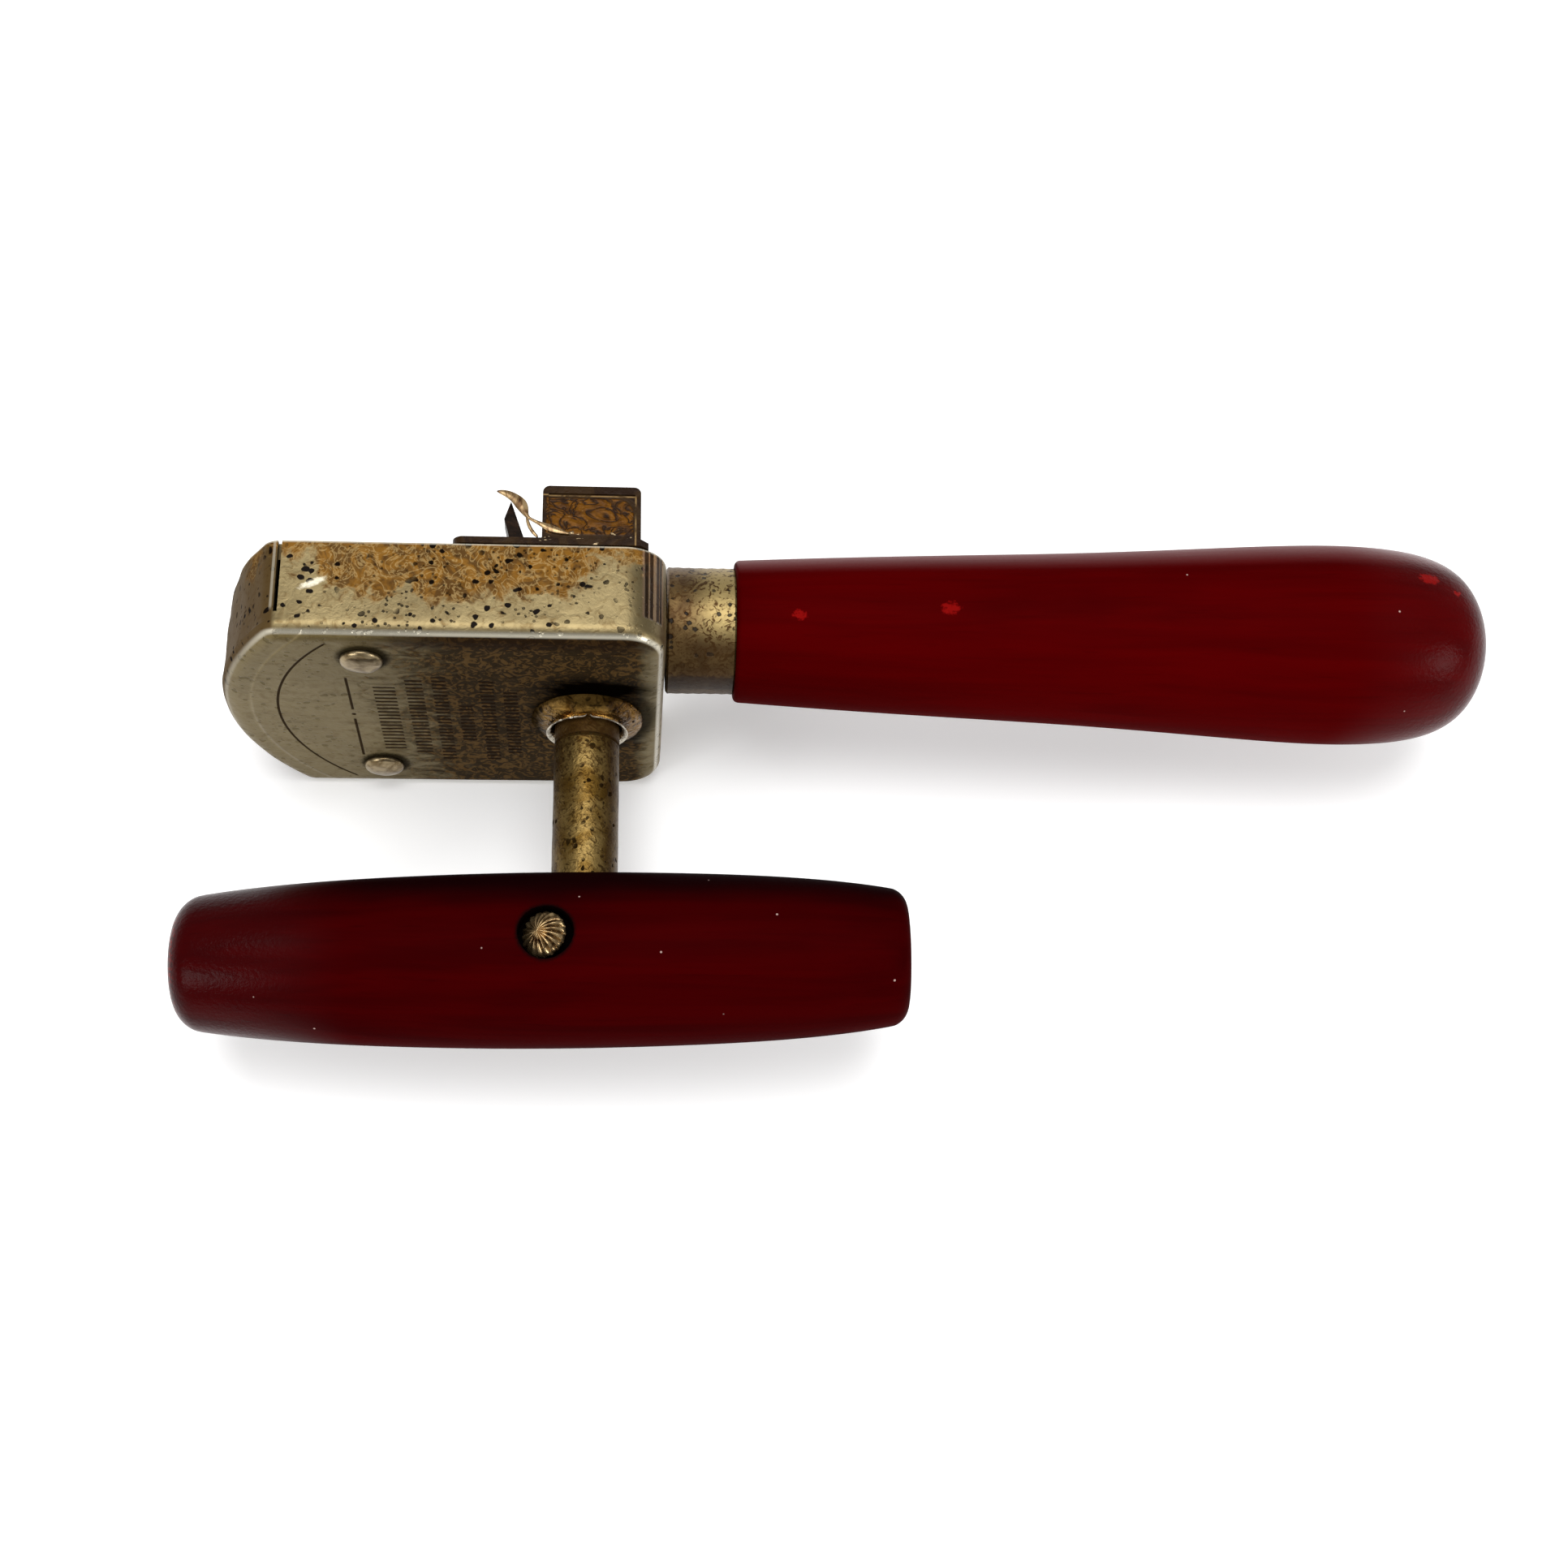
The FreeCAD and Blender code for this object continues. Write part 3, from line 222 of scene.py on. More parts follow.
class Paint:
    """One material, coat over coat. Its fields are worked out in the row's frame, in millimetres."""

    def __init__(self, name):
        self.material = bpy.data.materials.new(name)
        self.material.use_nodes = True
        self.tree = self.material.node_tree
        self.shader = self.tree.nodes["Principled BSDF"]
        place = self.node("ShaderNodeTexCoord")
        scaled = self.node("ShaderNodeVectorMath", operation="SCALE")
        scaled.inputs["Scale"].default_value = 1 / MM
        self.connect(place.outputs["Object"], scaled.inputs[0])
        self.point = scaled.outputs[0]
        self.x, self.y, self.z = self.split(self.point)
        _, self.normal_y, self.normal_z = self.split(place.outputs["Normal"])
        self.colour = (255, 255, 255)

    def node(self, kind, **settings):
        made = self.tree.nodes.new(kind)
        for key, value in settings.items():
            setattr(made, key, value)
        return made

    def connect(self, value, socket):
        if isinstance(value, Field):
            value = value.socket
        if isinstance(value, bpy.types.NodeSocket):
            self.tree.links.new(value, socket)
        elif isinstance(value, tuple):
            socket.default_value = (*map(linear, value), 1.0)
        else:
            socket.default_value = value

    def split(self, vector):
        node = self.node("ShaderNodeSeparateXYZ")
        self.connect(vector, node.inputs[0])
        return [Field(self, output) for output in node.outputs]

    def math(self, operation, *values):
        node = self.node("ShaderNodeMath", operation=operation)
        for value, socket in zip(values, node.inputs):
            self.connect(value, socket)
        return Field(self, node.outputs[0])

    def ramp(self, value, low, high):
        node = self.node("ShaderNodeMapRange", interpolation_type="SMOOTHSTEP")
        for index, part in enumerate((value, low, high, 0.0, 1.0)):
            self.connect(part, node.inputs[index])
        return Field(self, node.outputs[0])

    def texture(self, kind, output, size, stretch, shift, **settings):
        """A texture whose own unit is size millimetres, before it is stretched and shifted."""
        place = self.node("ShaderNodeMapping")
        self.connect(self.point, place.inputs["Vector"])
        place.inputs["Location"].default_value = (shift, shift * 0.7, shift * 1.3)
        place.inputs["Scale"].default_value = [s / size for s in stretch]
        node = self.node(kind)
        self.connect(place.outputs[0], node.inputs["Vector"])
        for name, value in {"Scale": 1.0, **settings}.items():
            node.inputs[name].default_value = value
        return Field(self, node.outputs[output])

    def noise(self, size, detail=3.0, stretch=(1, 1, 1), distortion=0.0, shift=0.0):
        settings = {"Detail": detail, "Roughness": 0.55, "Distortion": distortion}
        return self.texture("ShaderNodeTexNoise", 0, size, stretch, shift, **settings)

    def cells(self, size, stretch=(1, 1, 1), shift=0.0):
        """The distance to the nearest of some scattered points, in millimetres."""
        return self.texture("ShaderNodeTexVoronoi", "Distance", size, stretch, shift) * size

    def distance(self, *offsets):
        """The length of a vector whose parts are the given fields."""
        total = sum((offset * offset for offset in offsets[1:]), offsets[0] * offsets[0])
        return total.sqrt()

    def mix(self, amount, first, second):
        """From the first colour to the second as amount goes from 0 to 1."""
        node = self.node("ShaderNodeMix", data_type="RGBA")
        self.connect(amount, node.inputs[0])
        self.connect(first, node.inputs[6])
        self.connect(second, node.inputs[7])
        return Field(self, node.outputs[2])

    def coat(self, amount, colour):
        """Lays a colour over the coats so far, as thick as amount, from 0 to 1."""
        self.colour = self.mix(amount, self.colour, colour)

    def most(self, *values):
        """The largest of some fields."""
        largest = values[0]
        for value in values[1:]:
            largest = self.math("MAXIMUM", largest, value)
        return largest

    def blend(self, amount, first, second):
        """From the first number to the second as amount goes from 0 to 1."""
        return amount * (second - first) + first

    def finish(self, rough, metal=0.0, height=None, **sockets):
        self.connect(self.colour, self.shader.inputs["Base Color"])
        self.connect(rough, self.shader.inputs["Roughness"])
        self.connect(metal, self.shader.inputs["Metallic"])
        if height is not None:
            bump = self.node("ShaderNodeBump")
            bump.inputs["Distance"].default_value = MM
            self.connect(height, bump.inputs["Height"])
            self.connect(bump.outputs[0], self.shader.inputs["Normal"])
        for name, value in sockets.items():
            self.connect(value, self.shader.inputs[name.replace("_", " ")])
        return self.material


# ---- geometry

def spline(poles, count):
    """Points along the clamped cubic B-spline of some poles, given as (along, radius)."""
    spans = len(poles) - 3
    knots = [0] * 4 + list(range(1, spans)) + [spans] * 4
    points = []
    for step in range(count + 1):
        t = min(spans * step / count, spans - 1e-9)
        span = int(t) + 3
        work = [Vector(poles[span - 3 + k]) for k in range(4)]
        for level in range(1, 4):
            for k in range(3, level - 1, -1):
                low = knots[span - 3 + k]
                share = (t - low) / (knots[span + 1 + k - level] - low)
                work[k] = work[k - 1].lerp(work[k], share)
        points.append(tuple(work[3]))
    return points


def straight(start, end, count):
    """The points strictly between two points."""
    steps = [k / count for k in range(1, count)]
    return [(start[0] + (end[0] - start[0]) * t, start[1] + (end[1] - start[1]) * t) for t in steps]


def arc(centre, radius, start, end, count):
    """Points (along, radius) of an arc, with its angles in degrees."""
    angles = [radians(start + (end - start) * step / count) for step in range(count + 1)]
    return [(centre[0] + radius * cos(a), centre[1] + radius * sin(a)) for a in angles]


def along_x(centre_y, centre_z):
    return lambda s, r, a: (s, centre_y + r * cos(a), centre_z + r * sin(a))


def along_y(centre_x, centre_z):
    return lambda s, r, a: (centre_x + r * cos(a), s, centre_z + r * sin(a))


def along_z(centre_x, centre_y, start):
    return lambda s, r, a: (centre_x + r * cos(a), centre_y + r * sin(a), start + s)


def lathe(profile, turns, place, closed=False, change=None):
    """A turned surface: profile is a list of (along, radius), and radius 0 makes a pole."""
    points, rings, faces = [], [], []
    for along, radius in profile:
        ring = []
        for turn in range(turns if radius > 1e-6 else 1):
            angle = tau * turn / turns
            s, r = change(along, radius, angle) if change else (along, radius)
            ring.append(len(points))
            points.append(place(s, r, angle))
        rings.append(ring)
    pairs = list(zip(rings, rings[1:]))
    if closed:
        pairs.append((rings[-1], rings[0]))
    for first, second in pairs:
        for turn in range(turns):
            after = (turn + 1) % turns
            corners = [first[turn % len(first)], first[after % len(first)],
                       second[after % len(second)], second[turn % len(second)]]
            faces.append(list(dict.fromkeys(corners)))
    return points, [face for face in faces if len(face) > 2]


def joined(*parts):
    """Several (points, faces) shapes as one."""
    points, faces = [], []
    for more_points, more_faces in parts:
        base = len(points)
        points += more_points
        faces += [[base + corner for corner in face] for face in more_faces]
    return points, faces


def bridge(rings):
    """Faces between closed rings that have the same number of points."""
    count = len(rings[0])
    points = [point for ring in rings for point in ring]
    faces = []
    for k in range(len(rings) - 1):
        for i in range(count):
            j = (i + 1) % count
            faces.append([k * count + i, k * count + j, (k + 1) * count + j, (k + 1) * count + i])
    return points, faces


def capped(points, faces, count):
    """The bridge of rings with a flat face over its first and its last ring."""
    last = len(points) - count
    return points, faces + [list(range(count))[::-1], list(range(last, last + count))]


def linked(name, data):
    """A new object of the scene that shows some data."""
    made = bpy.data.objects.new(name, data)
    bpy.context.scene.collection.objects.link(made)
    return made


def mesh_object(name, shape, smooth=35.0):
    points, faces = shape
    mesh = bpy.data.meshes.new(name)
    mesh.from_pydata([Vector(point) * MM for point in points], [], faces)
    made = linked(name, mesh)
    outward(made)
    smooth_shaded(mesh, smooth)
    return made


def smooth_shaded(mesh, angle):
    """Smooth shading, except over edges sharper than an angle in degrees."""
    mesh.shade_smooth()
    mesh.set_sharp_from_angle(angle=radians(angle))


def outward(made):
    """Turns every face of a closed mesh to face out."""
    work = bmesh.new()
    work.from_mesh(made.data)
    bmesh.ops.recalc_face_normals(work, faces=work.faces)
    work.to_mesh(made.data)
    work.free()


def new_piece(name, shape, body, material, replaces=(), smooth=35.0):
    """A finished piece that rides on a body and stands for some CAD nodes."""
    piece = mesh_object(name, shape, smooth)
    piece.data.materials.append(material)
    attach(piece, body)
    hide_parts(*replaces)
    return piece


def cut(piece, cutter_shape, name):
    """Takes a cutter's volume out of a piece."""
    cutter = mesh_object(name, cutter_shape)
    modifier = piece.modifiers.new(name, "BOOLEAN")
    modifier.operation = "DIFFERENCE"
    modifier.solver = "EXACT"
    modifier.object = cutter
    depsgraph = bpy.context.evaluated_depsgraph_get()
    carved = bpy.data.meshes.new_from_object(piece.evaluated_get(depsgraph))
    piece.modifiers.clear()
    piece.data = carved
    bpy.data.objects.remove(cutter)
    smooth_shaded(carved, 35.0)


def block(low, high):
    """The points and faces of a box between two corners."""
    points = [(x, y, z) for x in (low[0], high[0]) for y in (low[1], high[1]) for z in (low[2], high[2])]
    faces = [[0, 1, 3, 2], [4, 6, 7, 5], [0, 4, 5, 1], [2, 3, 7, 6], [0, 2, 6, 4], [1, 5, 7, 3]]
    return points, faces


def crumple(point, size, seed=0.0):
    """A smooth pseudo-random number from -1 to 1 at a point, the same in every run."""
    return noise.noise(Vector(point) / size + Vector((seed, seed, seed)))


class Box:
    """A CAD node's box at rest, in millimetres; its front faces the crank's side."""

    def __init__(self, node):
        low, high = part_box(node)
        self.left, self.front, self.bottom = (value / MM for value in low)
        self.right, self.back, self.top = (value / MM for value in high)
        self.middle_x = (self.left + self.right) / 2
        self.middle_y = (self.front + self.back) / 2
        self.middle_z = (self.bottom + self.top) / 2
        self.half_x = (self.right - self.left) / 2
        self.half_z = (self.top - self.bottom) / 2


# ---- finishes

def rust_coat(paint, case, side, worms):
    """Rust that creeps over the side walls from the open back."""
    x = paint.x
    wander = paint.noise(7.0, 4.0, distortion=1.0, shift=31.0)
    reach = x.above(case.left + 6.0, case.left + 26.0) * x.below(case.right - 15.0, case.right - 8.0)
    line = (paint.y - case.front) / (case.back - case.front) * 0.75 + wander * 0.85 + reach * 0.28
    patches = paint.noise(3.6, 4.0, distortion=1.8, shift=37.0)
    rust = (line + (patches - 0.5) * 0.6).above(0.98, 1.14) * side
    rust_colour = paint.mix(patches.above(0.4, 0.62), RUST_LIGHT, RUST_DARK)
    rust_colour = paint.mix(worms.below(0.0, 0.12) * 0.5, rust_colour, RUST_VEIN)
    paint.coat(rust * 0.85, rust_colour)
    return rust


def pit_coat(paint, clouds, fine, share, strength):
    """Round pits of two sizes, fewer where share is low and paler where strength is."""
    field = paint.noise(8.0, 2.0, shift=41.0)
    size = paint.noise(1.3, 1.0, shift=51.0).above(0.3, 0.75) * 0.55
    pits = (paint.cells(1.6, shift=7.0) - size).below(0.02, 0.14) * field.above(0.36, 0.5)
    small = (paint.cells(0.9, shift=23.0) - fine * 0.28).below(0.0, 0.1) * clouds.above(0.45, 0.6)
    pits = paint.most(pits, small * 0.8) * share
    paint.coat(pits * strength, PIT_DARK)
    return pits


def shade_and_grime_coats(paint, case, crank_z, face):
    """Painted shade: the face is darkened all over and more towards the crank, with blotches of grime
    there, black above and round the collar, and brown along the top edge.
    """
    x, z = paint.x, paint.z
    stains = paint.noise(3.0, 4.0, distortion=1.6, stretch=(0.6, 1.0, 1.4), shift=61.0)
    # painted shade with blotchy grime, darker towards the crank
    shaded_grimy_side = x.above(-38.0, -6.0) * x.below(case.right - 6.5, case.right - 1.0)
    shaded_grimy_side = (shaded_grimy_side * 1.05 + stains * 1.1 - 0.52).above(0.0, 0.72) * face
    # painted shade: the whole face is darker
    paint.coat(face * 0.6, FACE_SHADE)
    blotches = paint.noise(1.8, 4.0, distortion=2.2, shift=71.0).above(0.47, 0.6)
    paint.coat(shaded_grimy_side * 0.9, paint.mix(blotches * 0.75, GRIME_AND_SHADE_BROWN, GRIME_PALE))
    # painted shade: black above the collar and round it
    from_crank = paint.distance(x - 1.0, (z - crank_z) * 0.8)
    shade = paint.distance((x - 1.0) / 10.0, (z - (crank_z + 9.0)) / 4.6) + stains * 0.7
    black_shade_and_grime = paint.most(shade.below(0.8, 1.5), from_crank.below(8.0, 10.5) * 0.8) * face
    paint.coat(black_shade_and_grime, GRIME_AND_SHADE_BLACK)
    # painted shade: brown along the top of the face
    top_shade = (z + stains * 2.0).above(case.top - 4.2, case.top - 1.8) * x.above(-34.0, -22.0)
    paint.coat(top_shade * face * 0.7, GRIME_AND_SHADE_BROWN)
    return shaded_grimy_side, black_shade_and_grime


def rivet_rings(paint, rivets, fine, face):
    """Dirt rings round the rivets."""
    rings = 0.0
    for rivet_z in rivet_centres(rivets):
        ring = paint.distance(paint.x - rivets.middle_x - 0.3, paint.z - rivet_z - 0.4) + fine * 0.8
        ring = ring.below(3.5, 4.7) * face * 0.85
        paint.coat(ring, GRIME_AND_SHADE_BLACK)
        rings = paint.most(ring, rings)
    return rings


def engraving(paint, crank_z, face):
    """An engraved arc, bars, a dot and rows of plain ticks, and the step of the pressed panel with a
    painted highlight along its edge.
    """
    x, z = paint.x, paint.z - crank_z
    from_centre = paint.distance(x - ARC_X, z)
    marks = from_centre.near(ENGRAVED_RADIUS, 0.13, 0.1) * x.below(ENGRAVED_X - 2.0, ENGRAVED_X - 1.4)
    bar = x.near(ENGRAVED_X, 0.14, 0.1)
    for low, high in ENGRAVED_BARS:
        marks = marks + bar * z.between(low, high, 0.1)
    beat = paint.math("FRACT", (z + 40.0) / TICK_PITCH).near(0.5, 0.16, 0.1)
    for column, half_width, low, high in TICK_ROWS:
        marks = marks + x.near(column, half_width, 0.15) * z.between(low, high, 0.1) * beat
    dot = paint.distance(x - ENGRAVED_X, z).below(0.25, 0.4)
    marks = paint.math("MINIMUM", marks + dot, 1.0) * face
    paint.coat(marks * 0.9, GRIME_AND_SHADE_BROWN)
    panel = from_centre.below(PANEL_RADIUS - 0.25, PANEL_RADIUS + 0.25) * face
    # painted highlight along the panel's step on its left side
    panel_edge_highlight = from_centre.near(PANEL_RADIUS + 0.2, 0.05, 0.3) * face * x.below(-30.0, -26.0)
    paint.coat(panel_edge_highlight * 0.5, NICKEL_LIGHT)
    return marks, panel


def rib_coats(paint, case):
    """Pressed ribs round the upper right corner."""
    corner_x = paint.x - (case.right - CORNER_RADIUS)
    corner_z = paint.z - (case.top - CORNER_RADIUS)
    lean = paint.math("ARCTAN2", corner_x, corner_z)
    grooves = sum(lean.near(radians(angle), 0.035, 0.035) for angle in RIB_ANGLES)
    reach = paint.y.above(case.front + 3.6, case.front + 4.0) * corner_z.above(0.0, 0.3)
    band = lean.near(radians(46.0), 0.33, 0.05) * reach
    paint.coat(band * 0.5, RIB_LIGHT)
    paint.coat(grooves * reach * 0.9, GRIME_AND_SHADE_BROWN)
    return grooves * reach


def nickel_paint(case, rivets, crank_z, end_x):
    """Tarnished nickel plate: pits, rust towards the back edge, grime rings round the rivets, painted shade
    with some grime on the face towards the crank and round the collar, and painted highlights along the
    face's edge and the panel's step.
    """
    paint = Paint("nickel")
    x, y = paint.x, paint.y
    side = abs(paint.normal_z).above(0.35, 0.75)
    face = (0.0 - paint.normal_y).above(0.6, 0.9)
    # painted highlight along the face's rounded edge, weaker towards the left end
    rim = 1.0 - abs(paint.normal_y * paint.normal_y * 2.0 - 1.0)
    rim = rim.above(0.45, 0.95) * y.below(case.front + 2.2, case.front + 2.8)
    rim = rim * paint.blend(x.above(case.left + 4.0, case.left + 12.0), 0.35, 1.0)

    clouds = paint.noise(9.0, shift=3.0)
    mottle = paint.noise(1.6, 4.0, distortion=1.2, shift=9.0)
    fine = paint.noise(0.5, shift=5.0)
    worms = abs(paint.noise(3.0, distortion=2.5, shift=17.0) - 0.5) * 2.0
    paint.colour = paint.mix(clouds.above(0.35, 0.7), NICKEL_LIGHT, NICKEL_GREY)
    paint.coat(mottle.above(0.5, 0.72) * 0.6, NICKEL_STAIN)
    paint.coat(fine.above(0.55, 0.8) * 0.25, NICKEL_LIGHT)

    # the left end has lost its shine, and one pale scuff has no pits
    left_end = x.below(end_x - 0.6, end_x + 0.2) * (1.0 - face)
    paint.coat(left_end * 0.85, NICKEL_DULL)
    rust = rust_coat(paint, case, side, worms)
    scuff = paint.distance((x - SCUFF_X) / 2.3, (y - 0.6 - (x - SCUFF_X) * 0.4) / 0.8) + fine * 0.7
    scuff = scuff.below(0.8, 1.3) * side
    pits = pit_coat(paint, clouds, fine, (1.0 - face * 0.5) * (1.0 - scuff), 1.0 - rim * 0.7)
    shaded_grimy_side, black_shade_and_grime = shade_and_grime_coats(paint, case, crank_z, face)
    black_shade_and_grime = paint.most(black_shade_and_grime, rivet_rings(paint, rivets, fine, face))
    engraved, panel = engraving(paint, crank_z, face)
    grooves = rib_coats(paint, case)

    # the face's smoother rounded edge with a painted highlight, the scuff, the bright lip beside the slit,
    # and the back edge
    paint.coat(rim * 0.8, NICKEL_BRIGHT)
    paint.coat(scuff * 0.6, SCUFF)
    lip = x.near(end_x - 0.7, 0.12, 0.15) * y.above(case.back - 11.0, case.back - 10.0) * side
    paint.coat(lip * 0.35, NICKEL_BRIGHT)
    paint.coat(y.above(case.back - 0.5, case.back - 0.2) * 0.6, NICKEL_BRIGHT)

    rough = paint.blend(mottle, 0.34, 0.5) + rust * 0.2 + pits * 0.2 + shaded_grimy_side * 0.08
    rough = paint.blend(rim, rough, 0.22)
    # painted shade and dirt make the metal duller and rougher
    dirt_and_shade = paint.most(shaded_grimy_side * 0.75, black_shade_and_grime, left_end * 0.75, engraved * 0.9)
    metal = (0.95 - rust * 0.75 - pits * 0.5 - face * 0.4) * (1.0 - dirt_and_shade * 0.97)
    height = mottle * 0.05 + fine * 0.02 + worms * rust * 0.08 - pits * 0.12 - grooves * 0.25
    height = height + panel * 0.12 - engraved * 0.1 + clouds * 0.12
    shine = 0.12 * (1.0 - dirt_and_shade) * (1.0 - rust * 0.8)
    return paint.finish(rough + dirt_and_shade * 0.3, metal, height, Specular_IOR_Level=shine)


def brassy_paint(name, crank, tones, relief, grain, smooth=0.32, groove_y=None, lip_y=None):
    """Nickel worn through to brass: yellow-brown with black pits and painted shade down the sides; on the
    collar, painted black shade over its top and left side.
    """
    paint = Paint(name)
    x, y, z = paint.x, paint.y, paint.z
    light, middle, dark = tones
    clouds = paint.noise(4.0, distortion=0.8, shift=2.0)
    mottle = paint.noise(grain, 4.0, distortion=1.5, shift=12.0)
    fine = paint.noise(0.4, 2.0, shift=22.0)
    paint.colour = paint.mix(clouds.above(0.35, 0.68), light, middle)
    paint.coat(mottle.above(0.48, 0.66) * 0.8, dark)
    # painted shade: darker down both sides
    shaded_flank = abs(x - crank.middle_x + 0.5).above(2.3, 4.4)
    paint.coat(shaded_flank * 0.6, dark)
    pit_size = paint.noise(1.2, 1.0, shift=33.0).above(0.35, 0.8) * 0.5
    pits = (paint.cells(1.2, stretch=(1.0, 0.8, 1.0), shift=4.0) - pit_size).below(0.0, 0.1)
    pits = pits * clouds.above(0.36, 0.55)
    paint.coat(pits * 0.9, PIT_DARK)
    dull = pits
    rough = paint.blend(mottle, smooth, smooth + 0.2) + pits * 0.3
    if groove_y is not None:
        smooth_band = y.above(groove_y, groove_y + 0.2)
        paint.coat(smooth_band * 0.8, BAND_BROWN)
        groove = y.near(groove_y, 0.18, 0.25)
        paint.coat(groove * 0.85, PIT_DARK)
        near_collar = y.above(groove_y - 7.0, groove_y - 1.0) * mottle.above(0.4, 0.6)
        paint.coat(near_collar * 0.6, BAND_BROWN)
        dull = paint.most(dull, smooth_band * 0.5, groove)
    if lip_y is not None:
        # painted shade: black over the collar's top and left side
        upper = (z - crank.middle_z + fine * 1.5).above(5.6, 8.2)
        left = (crank.middle_x - x + mottle * 2.0).above(6.2, 8.4)
        black_shade_and_grime = paint.most(upper, left)
        paint.coat(black_shade_and_grime * 0.9, GRIME_AND_SHADE_BLACK)
        dull = paint.most(dull, black_shade_and_grime)
        rim = y.below(lip_y + 0.22, lip_y + 0.42)
        paint.coat(rim * 0.9, LIP_SILVER)
        rough = paint.blend(rim, rough - 0.1, 0.2)
    metal = 0.92 - dull * 0.85
    height = mottle * relief + fine * 0.02 - pits * 0.12
    return paint.finish(rough, metal, height, Specular_IOR_Level=0.12 * (1.0 - dull))


def ferrule_paint(ferrule):
    """The sleeve's grey-gold plate, pitted above, with a painted highlight high up, a painted dark
    reflection in a band low down and painted shade underneath.
    """
    paint = Paint("ferrule_nickel")
    x, y, z = paint.x, paint.y, paint.z
    clouds = paint.noise(5.0, distortion=0.8, shift=6.0)
    mottle = paint.noise(1.0, 4.0, distortion=1.6, shift=16.0)
    paint.colour = paint.mix(clouds.above(0.35, 0.65), FERRULE_LIGHT, FERRULE_GREY)
    paint.coat(mottle.above(0.47, 0.62) * 0.75, FERRULE_RUST)
    low = (z - ferrule.middle_z) * -0.8 + (y - ferrule.middle_y) * -0.6
    # painted dark reflection: a brown band low on the sleeve
    band = (low + mottle * 1.5).near(5.4, 1.1, 0.9)
    paint.coat(band * 0.75, GRIME_AND_SHADE_BROWN)
    # painted highlight: pale patches high up towards the handle's end
    upper = low.below(-5.0, -1.5) * x.above(ferrule.middle_x - 3.0, ferrule.right - 2.0)
    paint.coat(upper * mottle.below(0.5, 0.6) * 0.85, FERRULE_HIGHLIGHT)
    pits = (paint.cells(1.5, shift=8.0) - mottle * 0.55).below(0.0, 0.14) * low.below(-2.0, 2.5)
    paint.coat(pits * 0.85, PIT_DARK)
    # painted shade: brown along the underside
    below = low.above(4.0, 7.0)
    dull = paint.most(pits, band, below)
    paint.coat(below * 0.55, GRIME_AND_SHADE_BROWN)
    height = mottle * 0.06 - pits * 0.12
    metal = 0.6 - dull * 0.58
    return paint.finish(paint.blend(mottle, 0.36, 0.55), metal, height, Specular_IOR_Level=0.15)


def rusty_paint(jaw):
    """Brown, rusted steel with golden-brown blisters on the guide's recessed face."""
    paint = Paint("rusty_steel")
    x, y = paint.x, paint.y
    clouds = paint.noise(3.2, distortion=1.2, shift=8.0)
    worms = abs(paint.noise(3.0, distortion=1.7, stretch=(0.7, 1.0, 1.0), shift=18.0) - 0.5) * 2.0
    fine = paint.noise(0.5, shift=28.0)
    paint.colour = paint.mix(clouds.above(0.35, 0.65), RUSTY_GOLD, RUSTY_BROWN)
    paint.coat(worms.below(0.0, 0.16), RUSTY_DARK)
    paint.coat(fine.above(0.62, 0.75) * 0.3, RUSTY_PALE)
    shelf_left = jaw.right - SHELF_FAR
    from_left = x - shelf_left
    from_right = jaw.right - SHELF_NEAR - x
    from_back = jaw.back - y
    from_front = y - jaw.front
    inner = from_left.above(0.4, 0.7) * from_right.above(0.9, 1.2) * from_back.above(1.6, 1.9)
    inner = inner * from_front.above(1.6, 2.0)
    corner = paint.distance(paint.most(3.6 - from_right, 0.0), paint.most(4.4 - from_back, 0.0))
    inner = inner * corner.below(2.4, 2.7)
    frame_colour = paint.mix(clouds.above(0.4, 0.6), FRAME_OLIVE, RUSTY_DARK)
    paint.colour = paint.mix(inner, frame_colour, paint.colour)
    on_top = paint.normal_z.above(0.6, 0.9) * x.above(shelf_left - 0.5, shelf_left)
    # painted highlights along the shelf's bent right and back edges
    right_bend_highlight = from_right.near(0.75, 0.05, 0.12) * from_back.above(1.3, 1.5)
    back_bend_highlight = from_back.near(1.45, 0.05, 0.12) * from_right.above(0.6, 0.8)
    bend_highlight = paint.most(right_bend_highlight, back_bend_highlight) * clouds.above(0.3, 0.55)
    paint.coat(bend_highlight * on_top * 0.6, RUSTY_PALE)
    sparks = paint.noise(0.8, 2.0, stretch=(0.5, 1.0, 1.0), shift=44.0).above(0.64, 0.7)
    sparks = sparks * from_front.below(2.0, 2.6) * on_top
    paint.coat(sparks * 0.9, SPARK)
    rough = paint.blend(fine, 0.28, 0.5) - sparks * 0.1
    height = worms * inner * 0.35 + clouds * 0.1 + fine * 0.04
    metal = 0.08 + sparks * 0.5
    return paint.finish(rough, metal, height, Specular_IOR_Level=0.08)


def steel_paint(name, tones, size=3.0, low_rough=0.35, high_rough=0.6):
    """Plain old steel: two tones, fine scratches and a little rust."""
    paint = Paint(name)
    light, dark = tones
    clouds = paint.noise(size, 4.0, distortion=0.6, shift=5.0)
    scratches = paint.noise(size / 4, stretch=(0.15, 1.0, 1.0), shift=15.0)
    paint.colour = paint.mix(clouds.above(0.35, 0.7), light, dark)
    specks = paint.noise(size / 5, shift=25.0).above(0.62, 0.75)
    paint.coat(specks * 0.4, RUST_DARK)
    height = clouds * 0.06 + scratches * 0.02
    return paint.finish(paint.blend(scratches, low_rough, high_rough), 0.9, height)


